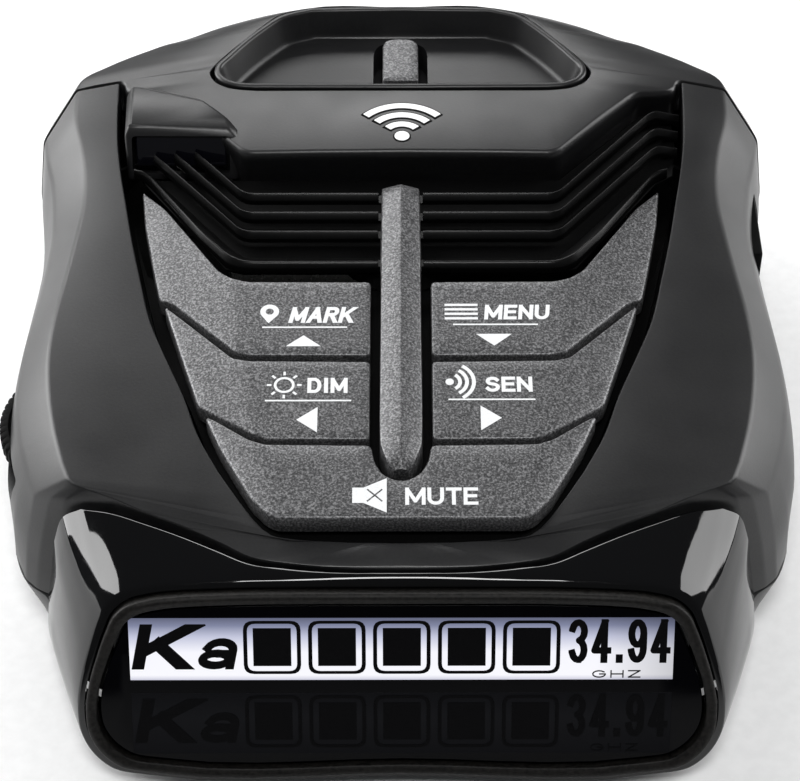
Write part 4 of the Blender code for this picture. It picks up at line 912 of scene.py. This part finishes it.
def bow(x, y, across, up, start, end, steps=8):
    """Points of an elliptic arc, with its angles in degrees."""
    turns = [math.radians(start + (end - start) * k / steps) for k in range(steps + 1)]
    return [(x + across * math.cos(t), y + up * math.sin(t)) for t in turns]


# Plain block letters: width over height, then strokes in a unit box
GLYPHS = {
    "A": (0.95, [[(0, 0), (0.5, 1), (1, 0)], [(0.22, 0.32), (0.78, 0.32)]]),
    "D": (0.85, [[(0.5, 1), (0, 1), (0, 0), (0.5, 0), *bow(0.5, 0.5, 0.5, 0.5, -80, 80), (0.5, 1)]]),
    "E": (0.72, [[(1, 0), (0, 0), (0, 1), (1, 1)], [(0, 0.52), (0.9, 0.52)]]),
    "G": (0.9, [[*bow(0.5, 0.5, 0.5, 0.5, 40, 360, 12), (0.55, 0.5)]]),
    "H": (0.85, [[(0, 0), (0, 1)], [(1, 0), (1, 1)], [(0, 0.5), (1, 0.5)]]),
    "I": (0.2, [[(0.5, 0), (0.5, 1)]]),
    "K": (0.9, [[(0, 0), (0, 1)], [(1, 1), (0.05, 0.35)], [(0.38, 0.58), (1, 0)]]),
    "M": (1.1, [[(0, 0), (0, 1), (0.5, 0.15), (1, 1), (1, 0)]]),
    "N": (0.85, [[(0, 0), (0, 1), (1, 0), (1, 1)]]),
    "R": (0.85, [[(0, 0), (0, 1), *bow(0.62, 0.76, 0.35, 0.24, 90, -90), (0, 0.52)], [(0.5, 0.5), (1, 0)]]),
    "S": (0.78, [[*bow(0.5, 0.76, 0.46, 0.24, 25, 270, 9), *bow(0.5, 0.26, 0.5, 0.26, 90, -155, 9)]]),
    "T": (0.8, [[(0.5, 0), (0.5, 1)], [(0, 1), (1, 1)]]),
    "U": (0.85, [[(0, 1), *bow(0.5, 0.36, 0.5, 0.36, 180, 360, 10), (1, 1)]]),
    "Z": (0.8, [[(0, 1), (1, 1), (0, 0), (1, 0)]]),
    "a": (0.9, [[(1, 0), (1, 0.62), *bow(0.55, 0.66, 0.45, 0.34, 0, 165, 8)],
                [*bow(0.46, 0.26, 0.46, 0.26, 20, 340, 14)], [(0.6, 0.5), (1, 0.5)]]),
    "3": (0.55, [[*bow(0.5, 0.76, 0.5, 0.24, 165, -80, 9), *bow(0.5, 0.26, 0.5, 0.26, 80, -165, 9)]]),
    "4": (0.6, [[(0.72, 0), (0.72, 1), (0, 0.25), (1, 0.25)]]),
    "9": (0.55, [[*bow(0.5, 0.7, 0.5, 0.3, 0, 360, 14), (1, 0.3), *bow(0.5, 0.3, 0.5, 0.3, 0, -165, 8)]]),
    ".": (0.1, [[(0.5, 0), (0.5, 0.06)]]),
}


def stroke(points, half, low, high):
    """Convex shapes that make up a stroke of even width along a path, in the box from low to high."""
    path = [Vector(points[0])]
    for point in points[1:]:
        if (Vector(point) - path[-1]).length > 0.02:
            path.append(Vector(point))
    foot, head = low[1] + half, high[1] - half
    level = [min(abs(point.y - foot), abs(point.y - head)) < 0.01 for point in path]
    runs = [(b - a).normalized() for a, b in zip(path, path[1:])]
    slanted = [abs(run.x * run.y) > 0.01 for run in runs]
    reach = [3 * half if level[0] and slanted[0] else half]
    for k in range(1, len(runs)):
        straight = not slanted[k - 1] and not slanted[k]
        square = runs[k - 1].dot(runs[k]) < 0.7 and (level[k] or straight)
        reach.append(half if square else 0.0)
    reach.append(3 * half if level[-1] and slanted[-1] else half)
    shapes = []
    for k, run in enumerate(runs):
        across = Vector((-run.y, run.x)) * half
        start, end = path[k] - run * reach[k], path[k + 1] + run * reach[k + 1]
        shape = [start - across, end - across, end + across, start + across]
        limits = [(1, low[1], 1), (1, high[1], -1)]
        if max(reach[k], reach[k + 1]) < 2 * half:
            limits += [(0, low[0], 1), (0, high[0], -1)]
        for limit in limits:
            shape = clipped(shape, *limit)
        shapes.append(shape)
    bends = [point for point, past in zip(path, reach) if past == 0.0]
    shapes += [[Vector(p) for p in circle(bend, half, 16)] for bend in bends]
    return [shape for shape in shapes if len(shape) > 2]


def clipped(shape, axis, limit, side):
    """The part of a convex outline above a limit in X or Y, or below it when side is -1."""
    kept = []
    for a, b in zip(shape, shape[1:] + shape[:1]):
        depth, following = side * (a[axis] - limit), side * (b[axis] - limit)
        if depth >= 0:
            kept.append(a)
        if depth * following < 0:
            kept.append(a.lerp(b, depth / (depth - following)))
    return kept


def merged(shapes):
    """One flat mesh that covers overlapping convex outlines."""
    points, faces = [], []
    for shape in shapes:
        faces.append(list(range(len(points), len(points) + len(shape))))
        points += shape
    verts, _, triangles, _, _, sources = delaunay_2d_cdt(points, [], faces, 1, 1e-5)
    bm = bmesh.new()
    made = [bm.verts.new((p.x, p.y, 0.0)) for p in verts]
    for triangle, source in zip(triangles, sources):
        if source:
            bm.faces.new([made[k] for k in triangle])
    loose = [v for v in bm.verts if not v.link_faces]
    bmesh.ops.delete(bm, geom=loose, context="VERTS")
    return bm


def lettering(text, low, high, weight, slant=0.0, gap=0.12):
    """Block letters fitted into the box from low to high. Weight is the stroke over the letters' height."""
    height = high[1] - low[1]
    half = weight * height / 2
    widths = [GLYPHS[c][0] for c in text]
    room = high[0] - low[0] - slant * height - 2 * half * len(text)
    stretch = room / (sum(widths) + gap * (len(text) - 1))
    shapes = []
    left = low[0]
    for char, width in zip(text, widths):
        right = left + 2 * half + width * stretch
        for path in GLYPHS[char][1]:
            placed = []
            for u, v in path:
                placed.append((left + half + u * width * stretch, low[1] + half + v * (height - 2 * half)))
            for shape in stroke(placed, half, (left, low[1]), (right, high[1])):
                shapes.append([Vector((p.x + slant * (p.y - low[1]), p.y)) for p in shape])
        left = right + gap * stretch
    return thickened(merged(shapes))


def joined(parts):
    """One bmesh from several."""
    whole = bmesh.new()
    for bm in parts:
        mesh = bpy.data.meshes.new("part")
        bm.to_mesh(mesh)
        bm.free()
        whole.from_mesh(mesh)
        bpy.data.meshes.remove(mesh)
    return whole


def rectangle(low, high, radius=0.0):
    corners = [(low[0], low[1]), (high[0], low[1]), (high[0], high[1]), (low[0], high[1])]
    if radius == 0.0:
        return corners
    return [tuple(p) for p in rounded([Vector(c) for c in corners], radius, 4, closed=True)]


def circle(centre, radius, sides=32, start=0.0, end=2 * math.pi):
    full = end - start > 6.28
    count = sides if full else sides + 1
    return [
        (centre[0] + radius * math.cos(start + (end - start) * k / sides),
         centre[1] + radius * math.sin(start + (end - start) * k / sides))
        for k in range(count)
    ]


def arc_band(centre, inner, outer, start, end, sides=14):
    return circle(centre, outer, sides, start, end) + circle(centre, inner, sides, start, end)[::-1]


def make_display_image():
    """The lit strip of the display: band letters, five level squares and a frequency, and a faint painted
    reflection of it lower down.
    """
    low, high = BAND_EDGES
    box_pitch, box_half = 8.0, 3.55
    first = -15.95
    squares = []
    for k in range(5):
        x = first + box_pitch * k
        outer = rectangle((x - box_half, 0.45), (x + box_half, 7.75), 1.3)
        inner = rectangle((x - box_half + 0.5, 0.85), (x + box_half - 0.5, 7.35), 1.0)
        core = rectangle((x - 2.35, 1.55), (x + 2.35, 6.75))
        squares += [flat_shapes([outer, inner]), flat_shapes([core])]
    marks = squares + [
        lettering("K", (-33.4, 1.1), (-25.6, 7.3), 0.25, slant=0.2),
        lettering("a", (-25.4, 1.1), (-19.9, 5.4), 0.25, slant=0.2),
        lettering("34.94", (20.6, 1.9), (33.2, 7.9), 0.145, gap=0.16),
        lettering("GHZ", (23.6, -0.15), (29.6, 0.9), 0.16, gap=0.3),
    ]
    face = WINDOW_FACE + 0.01
    panel = rounded_box((2 * BAND_HALF_WIDTH, high - low, 0.08), (0.0, (low + high) / 2, 0.0), 0.03, 1)
    lit_panel = finish_mesh("lit_strip", panel, LIT)
    piece(lit_panel, place=display_matrix(face, BAND_UP))
    ink_obj = finish_mesh("lit_strip_marks", joined(marks), INK)
    piece(ink_obj, place=display_matrix(face + 0.05, BAND_UP))
    # Painted reflection: dim glowing copies of the strip and its marks, set lower on the window
    for source, out, mat in ((lit_panel, face, PAINTED_REFLECTION), (ink_obj, face + 0.05, INK)):
        reflection = bpy.data.objects.new(source.name + "_painted_reflection", source.data.copy())
        reflection.data.materials[0] = mat
        bpy.context.scene.collection.objects.link(reflection)
        piece(reflection, place=display_matrix(out, PAINTED_REFLECTION_UP))


# Keys


def crease_lines(loop):
    """Points along the fold, so that the face's triangles follow it."""
    ys = [p[1] for p in loop]
    lines = []
    for side in (-1, 1):
        for k in range(int((max(ys) - min(ys)) / 1.0) + 1):
            y = min(ys) + k * 1.0
            for off in (-0.8, -0.25, 0.0, 0.25, 0.8):
                lines.append((side * (key_crease_x(y) + off), y))
    return lines


def make_keys():
    mute = MUTE_KEY_RIGHT + [(-x, y) for x, y in reversed(MUTE_KEY_RIGHT)]
    mute += [(-x, y) for x, y in reversed(MUTE_NOTCH_RIGHT)] + MUTE_NOTCH_RIGHT
    outlines = {
        "button_mark": FAR_KEY,
        "button_menu": [(-x, y) for x, y in FAR_KEY],
        "button_dim": MIDDLE_KEY,
        "button_sensitivity": [(-x, y) for x, y in MIDDLE_KEY],
        "button_mute": mute,
    }
    for name, outline in outlines.items():
        loop = [tuple(p) for p in rounded(outline, 0.7, 3, closed=True)]
        bm = plate(loop, key_z, KEY_THICKNESS, edge=0.32, spacing=2.5, lines=crease_lines(loop))
        key = finish_mesh(name.replace("button", "key"), bm, FLAKE)
        piece(key, [name], body=name)


def legend(name, body, parts):
    """Printed marks on a key: the flat shapes are laid on the key's face."""
    bm = joined(parts)
    for v in bm.verts:
        v.co.z += key_z(v.co.x, v.co.y)
    piece(finish_mesh(name, bm, PRINT), body=body)


def make_legends():
    pin = circle((-17.4, -4.75), 1.25, 24, math.radians(-35), math.radians(215))
    pin.append((-17.5, -6.8))
    legend("legend_mark", "button_mark", [
        flat_shapes([pin, circle((-17.4, -4.75), 0.55, 16)]),
        lettering("MARK", (-14.9, -6.75), (-5.9, -3.95), 0.2, slant=0.2),
        flat_shapes([rectangle((-18.3, -7.65), (-7.1, -7.4))]),
        flat_shapes([[(-15.1, -10.85), (-10.5, -10.85), (-12.8, -8.95)]]),
    ])
    bars = [rectangle((5.8, y), (10.2, y + 0.4)) for y in (-6.2, -5.4, -4.6, -3.8)]
    legend("legend_menu", "button_menu", [
        flat_shapes(bars),
        lettering("MENU", (11.0, -6.2), (19.8, -3.6), 0.2, slant=0.08),
        flat_shapes([rectangle((6.9, -7.2), (18.1, -6.95))]),
        flat_shapes([[(9.9, -8.75), (14.6, -8.75), (12.25, -10.8)]]),
    ])
    sun = (-15.1, -17.5)
    rays = []
    for k in range(8):
        angle = 2 * math.pi * k / 8
        along = Vector((math.cos(angle), math.sin(angle)))
        across = Vector((-along.y, along.x)) * 0.16
        middle = Vector(sun)
        corners = [middle + along * 1.65 - across, middle + along * 2.25 - across]
        corners += [middle + along * 2.25 + across, middle + along * 1.65 + across]
        rays.append([tuple(c) for c in corners])
    legend("legend_dim", "button_dim", [
        flat_shapes([circle(sun, 1.35, 28), circle(sun, 1.0, 28)]),
        flat_shapes(rays),
        lettering("DIM", (-12.1, -18.85), (-6.9, -16.3), 0.2),
        flat_shapes([rectangle((-17.5, -20.25), (-6.4, -20.0))]),
        flat_shapes([[(-13.4, -23.3), (-10.7, -21.2), (-10.7, -25.4)]]),
    ])
    waves = (6.3, -17.0)
    arcs = [arc_band(waves, r, r + 0.5, math.radians(-58), math.radians(58)) for r in (1.1, 2.0, 2.9)]
    legend("legend_sensitivity", "button_sensitivity", [
        flat_shapes([circle(waves, 0.55, 16)]),
        flat_shapes(arcs),
        lettering("SEN", (10.9, -18.7), (17.0, -16.15), 0.2),
        flat_shapes([rectangle((6.1, -20.1), (17.3, -19.85))]),
        flat_shapes([[(10.2, -21.0), (10.2, -25.1), (12.9, -23.05)]]),
    ])
    speaker = [(-6.1, -34.3), (-4.7, -34.3), (-1.8, -32.8), (-1.8, -38.2), (-4.7, -36.7), (-6.1, -36.7)]
    middle = Vector((-3.3, -35.5))
    cross = []
    for k in range(4):
        angle = math.pi * (k / 2 + 0.25)
        along = Vector((math.cos(angle), math.sin(angle)))
        across = Vector((-along.y, along.x)) * 0.11
        tip = middle + along * 1.35
        cross += [tip - across, tip + across, middle + along * 0.11 + across]
    cross = [tuple(p) for p in cross]
    legend("legend_mute", "button_mute", [
        flat_shapes([speaker, cross]),
        lettering("MUTE", (0.5, -37.0), (9.6, -34.3), 0.18),
    ])


def make_spine():
    places = [
        (SPINE_FAR_Y, 2.4, 1.4), (18.2, 2.45, 0.85), (17.4, 2.5, 0.4), (16.5, 2.5, 0.12), (15.4, 2.5, 0.0),
        (3.4, 2.6, 0.0), (2.6, 2.6, 0.0), (-10.0, 2.65, 0.0), (-24.0, 2.7, 0.0), (-28.0, 2.6, 0.0),
        (-29.2, 2.25, 0.0), (-30.4, 1.85, 0.0), (-31.2, 1.5, 0.15), (SPINE_END_Y, 1.1, 0.4),
    ]
    sections = []
    for y, half, dip in places:
        edge_z = key_z(0.0, y) + SPINE_RISE - dip
        crest_z = edge_z + 0.9 * half / 2.7
        foot_z = key_z(0.0, y, DECK_DROP) + 0.35 if y < 3.0 else 32.65
        corners = [
            Vector((-half, y, edge_z)), Vector((0.0, y, crest_z)), Vector((half, y, edge_z)),
            Vector((half + 0.15, y, foot_z)), Vector((-half - 0.15, y, foot_z)),
        ]
        sections.append(rounded(corners, [0.2, 0.12, 0.2, 0, 0], closed=True))
    nose = sections[-1]
    middle = sum(nose, Vector()) / len(nose)
    sections.append([middle + (p - middle) * 0.86 - Vector((0.0, 0.25, 0.0)) for p in nose])
    spine = finish_mesh("ridge", tidy(loft(sections, caps=(True, True))), FLAKE)
    piece(spine, ["center_spine"])


# Vents, pod and tray


def rib(places, top, crest=0.5, near_drop=0.9, far_drop=0.9):
    """Half a slat through places of x, near y and far y, with a crest along it. Its outer end dips."""
    low = top - RIB_THICKNESS
    lines = [rounded([(x, near, 0.0) for x, near, _ in places], 1.4, 4),
             rounded([(x, far, 0.0) for x, _, far in places], 1.4, 4)]
    sections = []
    for near, far in zip(*lines):
        dip = 0.45 * max(0.0, near.x - 36.6)
        middle = near.lerp(far, crest)
        corners = [
            Vector((near.x, near.y, top - near_drop - dip)), Vector((middle.x, middle.y, top - dip)),
            Vector((far.x, far.y, top - far_drop - dip)), Vector((far.x, far.y, low - dip)),
            Vector((near.x, near.y, low - dip)),
        ]
        sections.append(rounded(corners, [0.2, 0.3, 0.2, 0, 0], closed=True))
    return mirrored(loft(sections, caps=(False, True)))


def make_vents():
    rim = rib(RIM, key_z(0.0, 4.7, -0.2), 0.25, 0.7, 1.2)
    grille = finish_mesh("vent_louvres", rim, RIBBED)
    turn_x, rise = RIB_OUTER
    additions = []
    for index, (middle, end_x) in enumerate(RIBS):
        end_y = middle + rise + 1.0
        run = [(0.0, middle), (RIB_BEND_X, middle), (turn_x, middle + rise), (end_x + 1.4, end_y)]
        places = [(x, y - RIB_WIDTH / 2, y + RIB_WIDTH / 2) for x, y in run]
        additions.append(finish_mesh(f"rib_{index}", rib(places, key_z(0.0, middle, -0.2)), RIBBED))
    top = key_z(0.0, 10.0) - 1.6
    additions.append(finish_mesh("rib_tie", rounded_box((3.0, 14.0, 1.0), (0.0, 11.0, top), 0.2), RIBBED))
    carve(grille, additions, "UNION")
    groove = finish_mesh("spine_groove", rounded_box((6.2, 24.0, 4.0), (0.0, 14.0, 34.2), 0.05, 1), RIBBED)
    pod_gap = finish_mesh("pod_gap", pod_hull(0.8, 6.0), RIBBED)
    piece(carve(grille, [groove, pod_gap]), ["speaker_grille"])
    # Painted shade: a black sheet under the louvres so that the slots show dark
    shade_sheet = plate(SHADE_SHEET, lambda x, y: SHADE_SHEET_Z, 0.4, edge=0.1, steps=1, spacing=8.0)
    piece(finish_mesh("vent_shade_sheet", shade_sheet, MATT))


def pod_hull(grow=0.0, deepen=0.0):
    points = [Vector(p) for p in POD_TOP + POD_SHOULDER + POD_FOOT]
    centre = sum(points, Vector()) / len(points)
    bm = bmesh.new()
    for point in points:
        away = (point - centre).normalized()
        bm.verts.new(point + away * grow)
        if deepen and point.z < 30.0:
            bm.verts.new(point + away * grow - Vector((0.0, 0.0, deepen)))
    result = bmesh.ops.convex_hull(bm, input=bm.verts)
    unused = [v for v in result["geom_interior"] if isinstance(v, bmesh.types.BMVert)]
    bmesh.ops.delete(bm, geom=unused, context="VERTS")
    bmesh.ops.dissolve_limit(bm, angle_limit=math.radians(4), verts=bm.verts, edges=bm.edges)
    bmesh.ops.recalc_face_normals(bm, faces=bm.faces)
    return bm


def make_pod():
    bm = pod_hull()
    edges = [e for e in bm.edges if e.calc_face_angle(0.0) > math.radians(8)]
    bmesh.ops.bevel(bm, geom=edges, offset=0.4, segments=3, profile=0.5, affect="EDGES")
    pod = finish_mesh("laser_pod", bm, SATIN)
    turn = Euler((-POD_FACE_LEAN, 0.0, 0.0)).to_matrix().to_4x4()
    recess = rounded_box((13.8, 5.0, 5.4), (0.0, 0.9, 0.0), 0.5, 3)
    bmesh.ops.transform(recess, matrix=Matrix.Translation((-31.0, 26.6, 32.4)) @ turn, verts=recess.verts)
    piece(carve(pod, [finish_mesh("pod_recess", recess, MATT)]), ["rear_laser_pod"])
    window = rounded_box((12.8, 1.0, 4.5), (0.0, 0.0, 0.0), 0.35, 3)
    bmesh.ops.transform(window, matrix=Matrix.Translation((-31.0, 27.2, 32.6)) @ turn, verts=window.verts)
    piece(finish_mesh("pod_window", window, SMOKE), ["rear_laser_window"])


def make_tray():
    outer = [tuple(p) for p in smooth(TRAY_OUTLINE[1:-1], 4)]
    outer = [(0.0, TRAY_OUTLINE[0][1])] + outer + [(0.0, TRAY_OUTLINE[-1][1])]
    rims = [inset_path(outer, d) for d in (0.9, 1.6, 2.4)]
    sections = []
    for o, lip, wall, floor in zip(outer, *rims):
        middle_y = max(42.0, min(54.0, o[1]))
        corners = [
            Vector((0.0, middle_y, TRAY_FLOOR_Z - 1.4)),
            Vector((*wall, TRAY_FLOOR_Z - 1.4)),
            Vector((*o, TRAY_FLOOR_Z + 1.0)),
            Vector((*o, TRAY_LIP_Z - 0.1)),
            Vector((*lip, TRAY_LIP_Z)),
            Vector((*floor, TRAY_FLOOR_Z)),
            Vector((0.0, middle_y, TRAY_FLOOR_Z)),
        ]
        sections.append(rounded(corners, [0, 0, 0, 0.35, 0.35, 0.8, 0]))
    tray = finish_mesh("bracket_tray", mirrored(loft(sections, closed=False)), SATIN)
    near_y, far_y = LATCH_SLOT_Y
    half, middle_y = LATCH_SLOT_HALF_WIDTH, (near_y + far_y) / 2
    well_size = (2 * half + 2.4, far_y - near_y + 2.4, 5.2)
    well = finish_mesh("well", rounded_box(well_size, (0.0, middle_y, 28.0), 0.2, 1), SATIN)
    carve(tray, [well], "UNION")
    outline = [(-half, near_y), (half, near_y), (half, far_y), (-half, far_y)]
    slot = prism(rounded(outline, [0, 0, 3.4, 3.4], 8, closed=True), 26.4, 40.0)
    piece(carve(tray, [finish_mesh("slot", slot, SATIN)]), ["mount_tray"])


def make_latch():
    near_y, far_y = LATCH_Y
    half = LATCH_HALF_WIDTH
    outline = [(-half, near_y), (half, near_y), (half, far_y), (-half, far_y)]
    loop = rounded(outline, [0.45, 0.45, 1.9, 1.9], 5, closed=True)

    def top(x, y):
        return LATCH_TOP_Z - 0.012 * x * x

    bm = plate(loop, top, LATCH_THICKNESS, edge=0.3, spacing=1.0, foot=LATCH_TOP_Z - LATCH_THICKNESS)
    piece(finish_mesh("release_tongue", bm, FLAKE), ["mount_release_latch"],
          body="mount_release_latch")


def make_badge():
    """A plain badge: a dot under three arcs, the common sign for a signal."""
    centre = Vector((0.2, 27.0))

    def roof(x, y):
        return 35.4 - 0.036 * (y - 23.9) - 0.0006 * x * x

    for name, mat, grow, lift in (("badge_edge", MATT, 0.22, 0.05), ("badge_signal", WHITE, 0.0, 0.12)):
        loops = [circle(centre, 1.05 + grow, 28)]
        for r in (2.1, 4.2, 6.3):
            start, end = math.radians(42) - grow / r, math.radians(138) + grow / r
            loops.append(arc_band(centre, r - grow, r + 1.1 + grow, start, end, 24))
        bm = flat_shapes(loops, raise_to=lift, sink=0.05)
        for v in bm.verts:
            v.co.z += roof(v.co.x, v.co.y)
        piece(finish_mesh(name, bm, mat))


def make_wheel():
    half = WHEEL_THICKNESS / 2
    teeth = 60

    def knurl(angle, radius):
        if radius < WHEEL_RADIUS - 0.6:
            return radius
        return radius - 0.35 * (0.5 + 0.5 * math.cos(teeth * angle)) ** 3

    bm = bmesh.new()
    r = WHEEL_RADIUS
    profile = [
        (WHEEL_BORE_RADIUS, half), (3.4, half), (3.8, half - 0.3), (r - 1.6, half - 0.3), (r - 1.2, half),
        (r - 0.5, half), (r - 0.15, half - 0.15), (r, half - 0.5), (r, 0.5 - half), (r - 0.15, 0.15 - half),
        (r - 0.5, -half), (WHEEL_BORE_RADIUS, -half), (WHEEL_BORE_RADIUS, half),
    ]
    turn_profile(bm, profile, teeth * 6, knurl)
    bmesh.ops.translate(bm, vec=WHEEL_CENTRE, verts=bm.verts)
    piece(finish_mesh("thumbwheel", tidy(bm), MATT), ["volume_wheel"], body="volume_wheel")


def make_sockets():
    """The power jack and the metal update socket, each a rounded box with its mouth cut in."""
    x, y, z = JACK_CENTRE
    jack = finish_mesh("socket_shell", rounded_box(JACK_SIZE, JACK_CENTRE, 0.4), MATT)
    mouth = finish_mesh("socket_mouth", rounded_box((16.0, 9.6, 6.4), (x + 4.0, y, z), 0.2, 1), MATT)
    piece(carve(jack, [mouth]), ["power_jack"])
    x, y, z = USB_CENTRE
    port = finish_mesh("update_socket", rounded_box(USB_SIZE, USB_CENTRE, 0.4), STEEL)
    mouth = finish_mesh("update_mouth", rounded_box((7.0, 7.8, 2.8), (x + 1.5, y, z), 0.3, 2), STEEL)
    piece(carve(port, [mouth]), ["usb_port"])


def dress_inner_nodes():
    """Materials of the CAD nodes that stay."""
    # The boards take painted shade: black, so the gaps they show through stay dark
    by_node = {
        "keypad_deck": MATT, "main_board": SHADE_BLACK_BOARD, "display_board": SHADE_BLACK_BOARD, "key_board": SHADE_BLACK_BOARD,
        "volume_control": SHADE_BLACK_BOARD, "radar_horn": CAST, "microwave_module": TIN, "speaker": SENSOR,
        "front_laser_sensor": SENSOR, "rear_laser_sensor": SENSOR, "board_connector": MATT,
        "display_module": PANEL, "latch_spring": STEEL,
    }
    by_node.update({name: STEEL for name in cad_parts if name.startswith("switch_")})
    for name, mat in by_node.items():
        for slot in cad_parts[name].material_slots:
            slot.material = mat


# Stage


def make_stage():
    floor = bmesh.new()
    bmesh.ops.create_grid(floor, x_segments=1, y_segments=1, size=3000.0)
    paper = moulded("floor_paper", (0.86, 0.86, 0.86), (0.9, 0.9, 0.9), 0.7, grain=2.0, depth=0.01)
    finish_mesh("floor", floor, paper)
    world = bpy.data.worlds.new("studio")
    bpy.context.scene.world = world
    world.use_nodes = True
    world.node_tree.nodes["Background"].inputs["Color"].default_value = (0.95, 0.97, 1.0, 1.0)
    world.node_tree.nodes["Background"].inputs["Strength"].default_value = 0.1
    lights = [
        ("left_box", (-620, 300, 300), (420, 560), 6.2),
        ("right_box", (620, 260, 330), (420, 620), 4.5),
        ("back_box", (-260, 850, 600), (900, 230), 5.6),
        ("top_box", (0, -350, 850), (240, 240), 3.6),
    ]
    for name, at, size, power in lights:
        lamp = bpy.data.lights.new(name, "AREA")
        lamp.shape = "RECTANGLE"
        lamp.size, lamp.size_y = (side * MM for side in size)
        lamp.energy = power
        obj = bpy.data.objects.new(name, lamp)
        bpy.context.scene.collection.objects.link(obj)
        obj.location = Vector(at) * MM
        aim = Vector((0, 0, 15)) - Vector(at)
        obj.rotation_euler = aim.to_track_quat("-Z", "Y").to_euler()


def make_camera():
    elevation = math.radians(46.5)
    distance = 333.0
    target = Vector((0.0, -5.9, 18.0))
    back = Vector((0.0, -math.cos(elevation), math.sin(elevation)))
    data = bpy.data.cameras.new("camera")
    data.lens = 109.76
    data.sensor_width = 36.0
    data.shift_x = -1 / 800
    data.clip_start = 0.01
    obj = bpy.data.objects.new("camera", data)
    bpy.context.scene.collection.objects.link(obj)
    obj.location = (target + back * distance) * MM
    turn = (-back).to_track_quat("-Z", "Y").to_matrix()
    obj.rotation_euler = (turn @ Matrix.Rotation(math.radians(-0.1), 3, "Z")).to_euler()
    bpy.context.scene.camera = obj
    bpy.context.scene.view_settings.view_transform = "Standard"


make_top_frame()
make_front_cap()
make_front_lens()
make_bottom_case()
make_screws_and_feet()
make_display()
make_display_image()
make_keys()
make_legends()
make_spine()
make_vents()
make_pod()
make_tray()
make_latch()
make_badge()
make_wheel()
make_sockets()
dress_inner_nodes()
make_stage()
make_camera()
